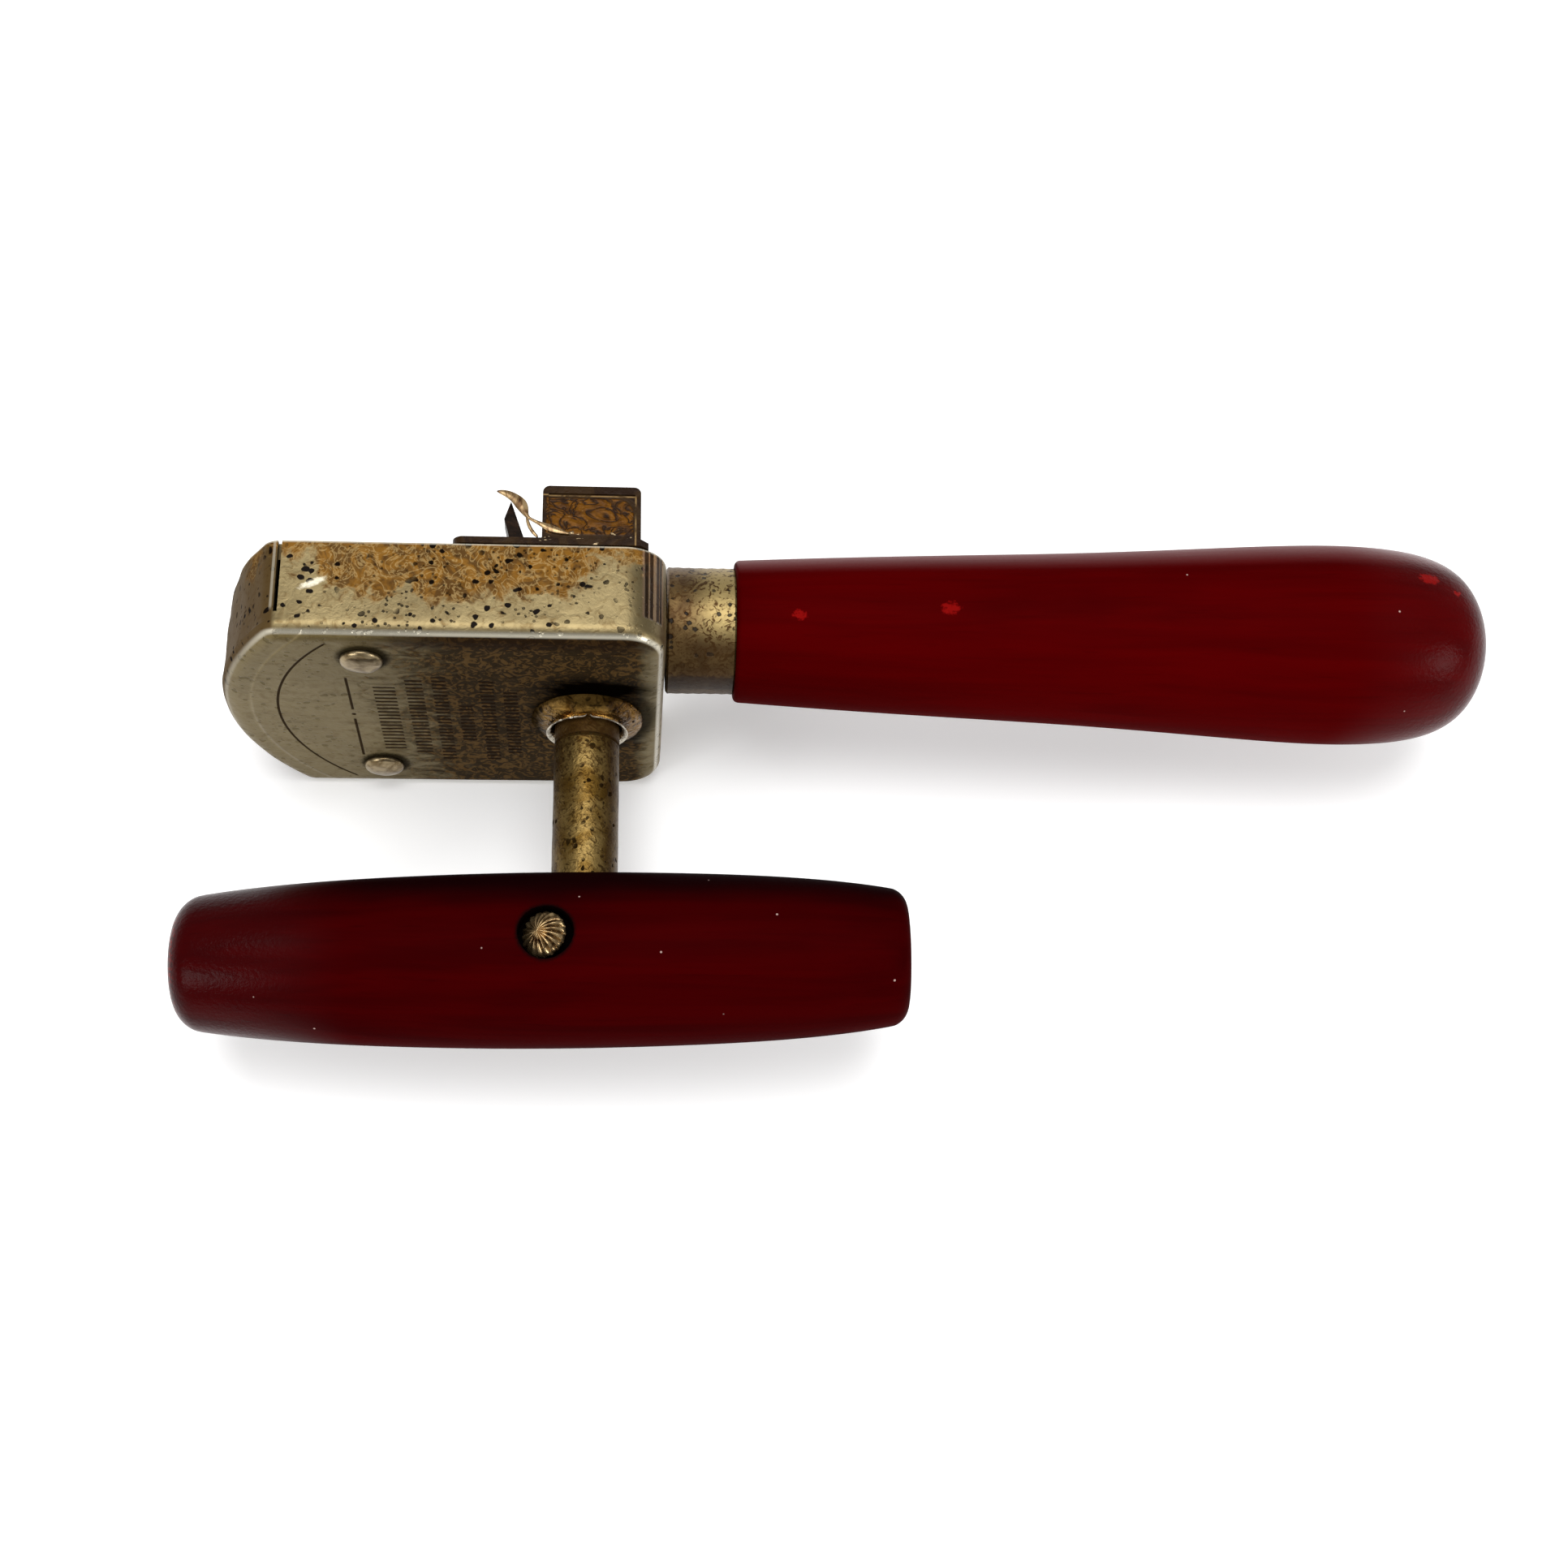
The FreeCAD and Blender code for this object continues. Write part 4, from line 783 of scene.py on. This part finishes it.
def leaf_paint():
    """The thin golden leaf, with painted shade down its steep sides, so it is bright along its ridges."""
    paint = Paint("leaf_brass")
    streaks = paint.noise(1.0, stretch=(1.0, 0.35, 1.0), distortion=0.8, shift=3.0)
    paint.colour = paint.mix(streaks.above(0.35, 0.65), LEAF_CREAM, LEAF_GOLD)
    paint.coat(streaks.above(0.62, 0.75), LEAF_BROWN)
    # painted shade: darker brown down the leaf's steep sides
    paint.coat(abs(paint.normal_z).below(0.35, 0.8) * 0.9, LEAF_BROWN)
    return paint.finish(paint.blend(streaks, 0.2, 0.4), 0.6, streaks * 0.08)


def red_paint(name, wood, tones, chips, glossy_x, back_sheen=0.0, case_shade_back=0.0, sink=None):
    """Old dark red paint over turned wood: faint streaks along the grain, chips and specks."""
    paint = Paint(name)
    x, y, z = paint.x, paint.y, paint.z
    box = Box(wood)
    light, middle, dark = tones
    streaks = paint.noise(3.0, 4.0, stretch=(0.06, 1.0, 1.0), distortion=0.4, shift=2.0)
    fibres = paint.noise(0.7, stretch=(0.05, 1.0, 1.0), shift=12.0)
    clouds = paint.noise(14.0, stretch=(0.5, 1.0, 1.0), shift=22.0)
    fine = paint.noise(0.6, shift=32.0)
    paint.colour = paint.mix(streaks.above(0.3, 0.72), light, middle)
    paint.coat(clouds.above(0.5, 0.75) * 0.3, dark)
    paint.coat(fibres.above(0.6, 0.75) * 0.25, dark)
    # painted shadow and painted dark reflection of the case over the grip's back
    if case_shade_back:
        back = (y - box.middle_y) / box.half_z + clouds * 0.3
        span = x.above(box.left + 8.0, box.left + 30.0)
        paint.coat(back.above(0.05, 0.7) * 0.35, dark)
        paint.coat(back.above(0.42, 0.85) * span * case_shade_back, RED_SHADE_BLACK)
    wander = (fine - 0.5) * 1.6
    for px, py, pz, size in chips:
        spot = paint.distance((x - px) * 0.7, y - py, z - pz) + wander
        paint.coat(spot.below(size * 0.6, size) * 0.6, RED_CHIP)
    # painted shade inside the sink round the pin's head
    if sink:
        sink_x, sink_y, sink_z = sink
        sink_shade = paint.distance(x - sink_x, y - sink_y) + fine * 0.5
        paint.coat(sink_shade.below(3.9, 4.7) * z.above(sink_z, sink_z + 1.0), SINK_SHADE_BLACK)
    specks = paint.cells(5.5, shift=9.0).below(0.1, 0.2) * clouds.above(0.42, 0.5)
    paint.coat(specks * 0.5, SPECK)
    end_wear = x.below(box.left + 0.5, box.left + 1.6) * fine.above(0.5, 0.6)
    paint.coat(end_wear * 0.4, RED_CHIP)
    gloss = abs(x - glossy_x).below(8.0, 26.0)
    sheen = paint.normal_y.above(0.4, 0.85) * back_sheen
    paint.coat(sheen * 0.5, RED_SHEEN)
    rough = paint.blend(gloss, 0.45, 0.2) + fine * 0.1
    shine = gloss * 0.07 + sheen * 0.3 + 0.004
    height = streaks * 0.05 + fibres * 0.012 + clouds * 0.15 + fine * gloss * 0.07
    return paint.finish(rough, 0.0, height, IOR=1.35, Specular_IOR_Level=shine)


# ---- case

def case_outline(case, inset):
    """The case's outline, inset by some millimetres: straight sides, two round corners, an arched end."""
    top = case.top - inset
    right = case.right - inset
    middle = case.middle_z
    half = top - middle
    corner = max(CORNER_RADIUS - inset, 0.4)
    bend = max(END_CORNER_RADIUS - inset, 0.3)
    end_radius = END_ARC_RADIUS - inset
    arc_x = case.left + END_ARC_RADIUS
    bend_x = arc_x - sqrt((end_radius - bend) ** 2 - (half - bend) ** 2)
    bend_angle = degrees(atan2(half - bend, bend_x - arc_x))
    upper = arc((right - corner, top - corner), corner, 0.0, 90.0, 24)
    upper += straight((right - corner, top), (bend_x, top), 44)
    upper += arc((bend_x, top - bend), bend, 90.0, bend_angle, 8)
    end = arc((arc_x, middle), end_radius, bend_angle, 360.0 - bend_angle, 44)[1:-1]
    lower = [(x, 2 * middle - z) for x, z in reversed(upper)]
    return upper + end + lower + straight(lower[-1], upper[0], 16)


def case_rings(case):
    """(inset, y) of each ring of the shell: up its inside, over the open back, and round to the face."""
    inner = case.front + CASE_WALL
    edge = case.back - 0.35
    rings = [(20.0, inner), (FACE_FILLET + 1.0, inner)]
    rings += [(CASE_WALL + 0.3, inner + 0.3), (CASE_WALL, inner + 1.2)]
    rings += [(CASE_WALL, case.back - 0.2), (CASE_WALL - 0.2, case.back), (0.25, case.back)]
    rings += [(0.05, case.back - 0.12), (0.0, edge)]
    span = edge - case.front - FACE_FILLET
    rings += [(0.0, edge - span * k / 14) for k in range(1, 14)]
    for step in range(11):
        angle = pi / 2 * step / 10
        rings.append((FACE_FILLET * (1 - cos(angle)), case.front + FACE_FILLET * (1 - sin(angle))))
    return rings + [(inset, case.front) for inset in (2.8, 3.6, 5.0, 8.0, 12.0, 16.0, 20.0)]


def dented(case, x, y, z):
    """A point of the case, with the shallow dents of long use on its left end and upper wall."""
    depth = 0.0
    if x < case.left + 14:
        wave = crumple((x, y, z), 9.0, 4.0) + 0.5 * crumple((x, y, z), 4.0, 2.0)
        depth = (0.35 + 0.4 * wave) * min((case.left + 14 - x) / 8, 1.0)
    if y < case.front + FACE_FILLET:
        depth *= 0.25
    inward = Vector((case.left + END_ARC_RADIUS - x, 0.0, case.middle_z - z)).normalized()
    ripple = 0.06 * crumple((x, y, z), 12.0, 8.0)
    face_ripple = 0.05 + 0.05 * crumple((x, 0.0, z), 10.0, 1.0) if y < case.front + 0.2 else 0.0
    moved = Vector((x, y + face_ripple, z)) + inward * max(depth + ripple, 0.0)
    return tuple(moved)


def build_case(material):
    case = Box("gear_case")
    rings = []
    for inset, y in case_rings(case):
        rings.append([dented(case, x, y, z) for x, z in case_outline(case, inset)])
    shape = capped(*bridge(rings), len(rings[0]))
    piece = new_piece("case_shell", shape, "case", material, ["gear_case"])
    slit_left = case.left + SLIT_FROM_LEFT
    walls = ((case.top - SLIT_REACH, case.top + 1), (case.bottom - 1, case.bottom + SLIT_REACH))
    for side, (low, high) in enumerate(walls):
        corner = (slit_left - SLIT_WIDTH / 2, case.back - SLIT_DEPTH, low)
        opposite = (slit_left + SLIT_WIDTH / 2, case.back + 1, high)
        cut(piece, block(corner, opposite), f"slit_{side}")
    return piece


# ---- collar, rivets, ferrule

def build_collar(material):
    """The flared collar pressed round the crank: a crumpled bulge and a thin rolled lip."""
    box = Box("crank_bushing")
    lip, base = box.front, box.front + 2.7
    wide = box.half_x
    profile = [(base + 2.0, 6.4), (base + 0.05, wide - 0.5), (base - 0.1, wide - 0.12), (base - 0.35, wide)]
    profile += [(base - 0.75, wide - 0.05), (base - 1.15, wide - 0.3), (base - 1.5, wide - 0.75)]
    profile += [(base - 1.75, wide - 1.35), (base - 1.9, wide - 2.0), (base - 1.95, wide - 2.6)]
    profile += [(lip + 0.5, 5.4), (lip + 0.3, 5.65), (lip + 0.15, 5.95), (lip + 0.02, 5.98)]
    profile += [(lip, 5.75), (lip + 0.15, 5.5), (lip + 0.5, 5.3), (lip + 1.2, 5.0), (base + 2.0, 4.95)]

    def crease(along, radius, angle):
        fold = sin(7 * angle + 1.3) * 0.5 + sin(13 * angle + 0.4) * 0.3 + sin(4 * angle) * 0.4
        bulge = max(0.0, 1 - abs(along - (base - 1.3)) / 1.2)
        notch = exp(-((degrees(angle) - 88.0) / 4.0) ** 2)
        rim = max(0.0, 1 - (along - lip) / 0.5) if radius > 5.2 else 0.0
        radius -= bulge * (0.3 + 0.3 * fold)
        return along + bulge * 0.1 * fold + rim * notch * 0.5, radius + rim * notch * 0.2

    shape = lathe(profile, 144, along_y(box.middle_x, box.middle_z), closed=True, change=crease)
    return new_piece("collar", shape, "case", material, ["crank_bushing"], smooth=50.0)


def rivet_centres(rivets):
    """The Z of each rivet's axis."""
    return rivets.bottom + RIVET_INSET, rivets.top - RIVET_INSET


def build_rivets(material):
    """Two rivets with low, slightly battered domes; their shanks end flush with the back."""
    box = Box("case_rivets")
    head = box.half_x - 0.2
    front = box.front
    face = front + 1.3
    shapes = []
    for seed, z in enumerate(rivet_centres(box)):

        def batter(along, radius, angle, seed=seed):
            dent = crumple((radius * cos(angle), radius * sin(angle), seed * 7.0), 2.4, 3.0)
            return along + 0.14 * dent * (radius < head - 0.4), radius

        profile = [(box.back, 0.0), (box.back, 1.75), (face, 1.75), (face, head - 0.1), (face - 0.2, head)]
        profile += [(face - 0.45, head - 0.05)]
        for step in range(1, 12):
            angle = pi / 2 * step / 12
            radius = (head - 0.1) * cos(angle)
            profile.append((face - 0.45 - (face - 0.45 - front) * sin(angle), radius))
        profile.append((front, 0.0))
        shapes.append(lathe(profile, 56, along_y(box.middle_x, z), change=batter))
    shape = joined(*shapes)
    return new_piece("dome_rivets", shape, "case", material, ["case_rivets"], smooth=50.0)


def build_ferrule(material):
    """The sleeve between case and wood, with soft edges and one nick in its far edge."""
    box = Box("ferrule")
    outer = box.half_z
    profile = [(box.left, outer - 0.9), (box.left, outer - 0.35), (box.left + 0.3, outer)]
    profile += [(box.left + (box.right - box.left) * k / 12, outer - 0.06 * (k % 2)) for k in range(1, 12)]
    profile += [(box.right - 0.25, outer), (box.right, outer - 0.25), (box.right, outer - 0.9)]
    profile += [(box.left + (box.right - box.left) * k / 4, outer - 0.9) for k in (3, 2, 1)]

    def worn(along, radius, angle):
        ripple = 0.05 * crumple((along, 9 * cos(angle), 9 * sin(angle)), 5.0, 6.0)
        nick = exp(-((degrees(angle) - 232.0) / 3.0) ** 2) * 0.9
        near_end = max(0.0, 1 - (box.right - along) / 1.2)
        return along - nick * near_end, radius - 0.05 + ripple

    shape = lathe(profile, 160, along_x(box.middle_y, box.middle_z), closed=True, change=worn)
    return new_piece("sleeve", shape, "case", material, ["ferrule"])


# ---- wooden handles

def rounded_ends(profile, left, right, left_round, right_round):
    """A profile of (along, radius) with round edges of the given radii at its two ends."""
    rounded = []
    for along, radius in profile:
        for gap, size in ((along - left, left_round), (right - along, right_round)):
            if gap < size:
                radius -= size - sqrt(max(size ** 2 - (size - gap) ** 2, 0.0))
        rounded.append((along, radius))
    return rounded


def build_long_handle(material):
    """The long handle swells from its neck to a round bulb."""
    box = Box("long_handle")
    ferrule = Box("ferrule")
    start = ferrule.right
    length = box.right - start
    bulb = box.half_z / 1.0033
    curve = ((0.2, 0.79), (0.455, 0.845), (0.712, 0.996), (0.858, 1.022), (0.978, 0.851), (1.0, 0.24))
    neck, edge = 10.7, 0.8
    poles = [(start + edge, neck)]
    poles += [(start + a * length, b * bulb) for a, b in curve]
    poles.append((start + length, 0.0))
    profile = [(start, 0.0), (start, 9.3)] + arc((start + edge, neck - edge), edge, 180.0, 90.0, 5)[:-1]
    profile += spline(poles, 110)
    profile[-1] = (start + length, 0.0)
    slope = tan(radians(HANDLE_LEAN))

    def leaning(along, radius, angle):
        y = box.middle_y + radius * cos(angle) - (along - start) * slope
        return along, y, box.middle_z + radius * sin(angle)

    shape = lathe(profile, 128, leaning)
    return new_piece("red_handle", shape, "case", material, ["long_handle"], smooth=50.0)


def crank_frame(tilt):
    """A frame on the crank's axis, halfway through the grip, with its Z leaning to the grip's left end."""
    shaft = Box("crank_shaft")
    centre = Vector((shaft.middle_x, Box("crank_grip").middle_y, shaft.middle_z))
    return Matrix.Translation(centre) @ Matrix.Rotation(-radians(tilt), 4, "Y")


def along_pin():
    """Along the pin, which leans further than the crank."""
    place = crank_frame(CRANK_ANGLE + PIN_TILT)
    return lambda s, r, a: tuple(place @ Vector((r * cos(a), r * sin(a), s)))


def build_grip(material):
    """The cross grip, with the sink that holds the pin's head."""
    curve = ((-1.0, 0.72), (-0.81, 0.875), (-0.29, 1.0), (0.29, 1.005), (0.81, 0.914), (1.0, 0.75))
    left_round, right_round = 3.5, 2.3
    left, right = GRIP_X - GRIP_HALF_LENGTH, GRIP_X + GRIP_HALF_LENGTH
    body = spline([(GRIP_X + a * GRIP_HALF_LENGTH, b * GRIP_RADIUS) for a, b in curve], 96)
    bends = [k * pi / 24 for k in range(12)]
    places = [left + left_round * (1 - cos(bend)) for bend in bends]
    places += [along for along, _ in body if left + left_round < along < right - right_round]
    places += [right - right_round * (1 - cos(bend)) for bend in reversed(bends)]
    profile = [(along, radius_at(body, along)) for along in places]
    profile = rounded_ends(profile, left, right, left_round, right_round)
    place = crank_frame(CRANK_ANGLE)
    turned = lathe(
        [(left, 0.0)] + profile + [(right, 0.0)], 128,
        lambda s, r, a: tuple(place @ Vector((s, r * cos(a), r * sin(a)))),
    )
    piece = new_piece("red_grip", turned, "crank", material, ["crank_grip"], smooth=50.0)
    middle_y, middle_z = Box("crank_grip").middle_y, Box("crank_shaft").middle_z
    sink = [(9.0, 0.0), (9.0, 3.8), (11.9, 3.8), (14.0, 4.4), (14.0, 0.0)]
    cut(piece, lathe(sink, 64, along_z(SINK_X, middle_y, middle_z)), "pin_sink")
    return piece


def radius_at(profile, along):
    """The radius of a profile at a place along it."""
    for (x0, r0), (x1, r1) in zip(profile, profile[1:]):
        if x0 <= along <= x1:
            return r0 + (r1 - r0) * (along - x0) / (x1 - x0)
    return profile[0][1] if along < profile[0][0] else profile[-1][1]


def build_pin(material):
    """The pin's domed head has flutes that fan out from its middle and swirl a little."""
    seat, head, rim, dome = 11.3, 3.25, 0.7, 1.7
    profile = [(2.0, 0.0), (2.0, 1.6), (seat, 1.6), (seat, head - 0.2)]
    profile += [(seat + 0.15, head), (seat + rim, head)]
    for step in range(1, 26):
        radius = head * (1 - step / 26)
        profile.append((seat + rim + dome * (1 - (radius / head) ** 2) ** 0.75, radius))
    profile.append((seat + rim + dome, 0.0))

    def flute(along, radius, angle):
        if along < seat + rim - 0.01 or radius > head:
            return along, radius
        share = radius / head
        swirl = angle + 0.12 * share * share
        ridge = abs(sin(PIN_FLUTES / 2 * swirl)) ** 0.8
        depth = 0.62 * min(share * 1.6, 1.0) * (1 - ridge)
        return along - depth, radius - 0.1 * (1 - ridge) * share

    shape = lathe(profile, PIN_FLUTES * 14, along_pin(), change=flute)
    return new_piece("fluted_pin", shape, "crank", material, ["grip_pin"], smooth=60.0)


def build_shaft(material):
    """The crank's round shaft, with the groove just outside the collar."""
    box = Box("crank_shaft")
    radius = box.half_z
    front, shoulder = box.front, -4.5
    groove = Box("crank_bushing").front - GROOVE_FROM_LIP
    profile = [(front, 0.0), (front, radius - 0.5), (front + 0.5, radius)]
    profile += [(front + 0.5 + (groove - 0.4 - front - 0.5) * k / 30, radius) for k in range(1, 30)]
    profile += [(groove - 0.3, radius), (groove - 0.15, radius - 0.14), (groove + 0.15, radius - 0.14)]
    profile += [(groove + 0.3, radius), (shoulder - 0.3, radius), (shoulder, radius - 0.3)]
    profile += [(shoulder, 3.0), (box.back - 0.2, 3.0), (box.back, 2.8), (box.back, 0.0)]

    def worn(along, r, angle):
        ripple = 0.05 * crumple((along, 5 * cos(angle), 5 * sin(angle)), 3.0, 5.0)
        return along, r + ripple * (r > 4) - 0.02

    shape = lathe(profile, 96, along_y(box.middle_x, box.middle_z), change=worn)
    return new_piece("pitted_shaft", shape, "crank", material, ["crank_shaft"])


# ---- jaw

def strip(path):
    """A thin strip with a ridge, along a path of (x, y, z, half of its width, thickness)."""
    rings = []
    for index, (x, y, z, half, thick) in enumerate(path):
        before, after = path[max(index - 1, 0)], path[min(index + 1, len(path) - 1)]
        run = Vector((after[0] - before[0], after[1] - before[1], 0.0)).normalized()
        across = Vector((-run.y, run.x, 0.0))
        ring = []
        for share, lift in STRIP_SECTION:
            ring.append(tuple(Vector((x, y, z + lift * thick / 2)) + across * half * share))
        rings.append(ring)
    return capped(*bridge(rings), len(STRIP_SECTION))


def build_leaf(material):
    """A pinched golden leaf: a blade that runs on to the guide past a waist, and a strand beside it."""
    box = Box("lid_spring")
    top = box.top - LEAF_DROP
    strips = []
    for points in (LEAF_BLADE, LEAF_STRAND):
        path = [(box.left + x, box.front + y, top - depth, *rest) for x, y, depth, *rest in points]
        strips.append(strip(path))
    shape = joined(*strips)
    piece = new_piece("golden_leaf", shape, "jaw", material, ["lid_spring"], smooth=45.0)
    rounding = piece.modifiers.new("rounding", "SUBSURF")
    rounding.levels = 2
    rounding.render_levels = 2
    return piece


def build_spring(material):
    """The coil spring under the jaw's lever."""
    box = Box("jaw_spring")
    coil = box.half_x - SPRING_WIRE
    climb = box.top - box.bottom - 2 * SPRING_WIRE
    steps = SPRING_TURNS * SPRING_STEPS
    rings = []
    for step in range(steps + 1):
        angle = tau * step / SPRING_STEPS
        height = box.bottom + SPRING_WIRE + climb * step / steps
        ring = []
        for side in range(8):
            bend = tau * side / 8
            reach = coil + SPRING_WIRE * cos(bend)
            x = box.middle_x + reach * cos(angle)
            y = box.middle_y + reach * sin(angle)
            ring.append((x, y, height + SPRING_WIRE * sin(bend)))
        rings.append(ring)
    shape = capped(*bridge(rings), 8)
    piece = new_piece("coil_spring", shape, "case", material, ["jaw_spring"], smooth=60.0)
    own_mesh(piece)
    return piece


# ---- stage

def floor_paint():
    """Plain pale paint with a faint glow that keeps the shadows light."""
    paint = Paint("floor_white")
    paint.colour = paint.mix(paint.noise(400.0, 1.0), FLOOR_DIM, FLOOR_BRIGHT)
    return paint.finish(0.9, Emission_Color=(255, 255, 255), Emission_Strength=0.2)


def add_floor(material):
    size = 3000.0
    points = [(-size, -size, -0.05), (size, -size, -0.05), (size, size, -0.05), (-size, size, -0.05)]
    floor = mesh_object("floor", (points, [[0, 1, 2, 3]]))
    floor.data.materials.append(material)


def add_area(name, direction, distance, size, power):
    """A square soft light, aimed at the middle of the opener."""
    aim = Vector((40.0, -10.0, 20.0)) * MM
    light = bpy.data.lights.new(name, "AREA")
    light.shape = "SQUARE"
    light.size = size
    light.energy = power
    lamp = linked(name, light)
    lamp.location = aim + Vector(direction).normalized() * distance
    lamp.rotation_euler = (aim - lamp.location).to_track_quat("-Z", "Y").to_euler()


def add_world(strength):
    world = bpy.data.worlds.new("studio")
    world.use_nodes = True
    background = world.node_tree.nodes["Background"]
    background.inputs["Color"].default_value = (1.0, 1.0, 1.0, 1.0)
    background.inputs["Strength"].default_value = strength
    bpy.context.scene.world = world


def add_camera():
    """Above the crank's side, a third of a metre up, looking down at 66 degrees."""
    data = bpy.data.cameras.new("camera")
    data.lens = 50.52
    data.sensor_width = 36.0
    data.clip_start = 0.01
    camera = linked("camera", data)
    forward = Vector((0.07535, 0.39900, -0.91385)).normalized()
    right = Vector((0.99709, -0.01956, 0.07367))
    right = (right - forward * right.dot(forward)).normalized()
    up = right.cross(forward)
    axes = Matrix((right, up, -forward)).transposed().to_4x4()
    camera.matrix_world = Matrix.Translation(Vector((4.560, -146.296, 319.921)) * MM) @ axes
    bpy.context.scene.camera = camera


# ---- the scene

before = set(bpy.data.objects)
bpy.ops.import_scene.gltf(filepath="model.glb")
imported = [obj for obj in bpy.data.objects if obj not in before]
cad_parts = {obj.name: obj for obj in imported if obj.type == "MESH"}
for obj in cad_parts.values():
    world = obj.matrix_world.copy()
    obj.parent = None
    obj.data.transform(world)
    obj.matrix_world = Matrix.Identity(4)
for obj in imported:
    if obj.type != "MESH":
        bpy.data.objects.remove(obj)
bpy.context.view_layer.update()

case = Box("gear_case")
shaft = Box("crank_shaft")
lip_y = Box("crank_bushing").front
nickel = nickel_paint(case, Box("case_rivets"), shaft.middle_z, case.left + SLIT_FROM_LEFT)
collar_brass = brassy_paint("collar_brass", shaft, COLLAR, 0.5, 1.6, smooth=0.16, lip_y=lip_y)
shaft_brass = brassy_paint("shaft_brass", shaft, BRASSY, 0.08, 0.8, groove_y=lip_y - GROOVE_FROM_LIP)
pin_nickel = steel_paint("pin_nickel", PIN_NICKEL, size=1.6, low_rough=0.16, high_rough=0.34)
rivet_nickel = steel_paint("rivet_nickel", RIVET_NICKEL, size=1.6, low_rough=0.2, high_rough=0.4)
sleeve_nickel = ferrule_paint(Box("ferrule"))
rusty = rusty_paint(Box("jaw_plate"))
dark_steel = steel_paint("dark_steel", DARK_STEEL, size=2.4)
plate_steel = steel_paint("plate_steel", PLATE_STEEL, size=3.5)
gear_steel = steel_paint("gear_steel", GEAR_STEEL)
bearing = steel_paint("bearing", BEARING)
leaf = leaf_paint()

# each chip in the paint: x, y, z and size
handle = Box("long_handle")
handle_chips = [
    (30.8, handle.middle_y - 2.6, handle.middle_z + 10.4, 1.0),
    (53.0, handle.middle_y - 1.8, handle.middle_z + 11.5, 1.3),
    (handle.right - 11.8, handle.middle_y + 3.6, handle.middle_z + 13.6, 1.3),
    (handle.right - 8.0, handle.middle_y + 1.6, handle.middle_z + 12.4, 0.9),
]
grip = Box("crank_grip")
grip_chips = [(-29.0, grip.middle_y + 0.6, grip.middle_z + 12.4, 1.3)]
grip_sink = (SINK_X, grip.middle_y, shaft.middle_z + 8.0)
handle_red = red_paint(
    "handle_red", "long_handle", HANDLE_REDS, handle_chips, glossy_x=handle.right, back_sheen=1.0
)
grip_red = red_paint(
    "grip_red", "crank_grip", GRIP_REDS, grip_chips, glossy_x=grip.left, case_shade_back=0.9, sink=grip_sink
)

build_case(nickel)
build_collar(collar_brass)
build_rivets(rivet_nickel)
build_ferrule(sleeve_nickel)
build_long_handle(handle_red)
build_grip(grip_red)
build_pin(pin_nickel)
build_shaft(shaft_brass)
build_leaf(leaf)
build_spring(gear_steel)

# the CAD nodes that keep their own shapes, by material and slot
crank_train = ("crank_pinion", "crank_spacer", "crank_retainer")
feed_train = ("feed_shaft", "feed_gear", "feed_wheel", "feed_washer", "feed_nut")
kept = (
    (plate_steel, "nickel", ("frame_plate",)),
    (bearing, "bearing", ("feed_bushing", "jaw_bushing")),
    (gear_steel, "gear_steel", ("spring_seat", *crank_train, *feed_train, "jaw_pivot", "jaw_arm")),
    (rusty, "rusty", ("jaw_plate",)),
    (dark_steel, "dark_steel", ("knife", "knife_rivets")),
)
for material, slot, nodes in kept:
    for node in nodes:
        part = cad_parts[node]
        part.data.materials.clear()
        part.data.materials.append(material)

add_floor(floor_paint())
add_world(0.45)
add_area("overhead", (-0.06, 0.1, 1.0), 1.1, 0.7, 10.5)
add_area("right_glint", (0.774, -0.475, 0.432), 0.9, 0.3, 2.4)
add_area("left_glint", (-0.6, -0.5, 0.45), 0.9, 0.3, 2.4)
add_camera()
bpy.context.scene.view_settings.view_transform = "Standard"
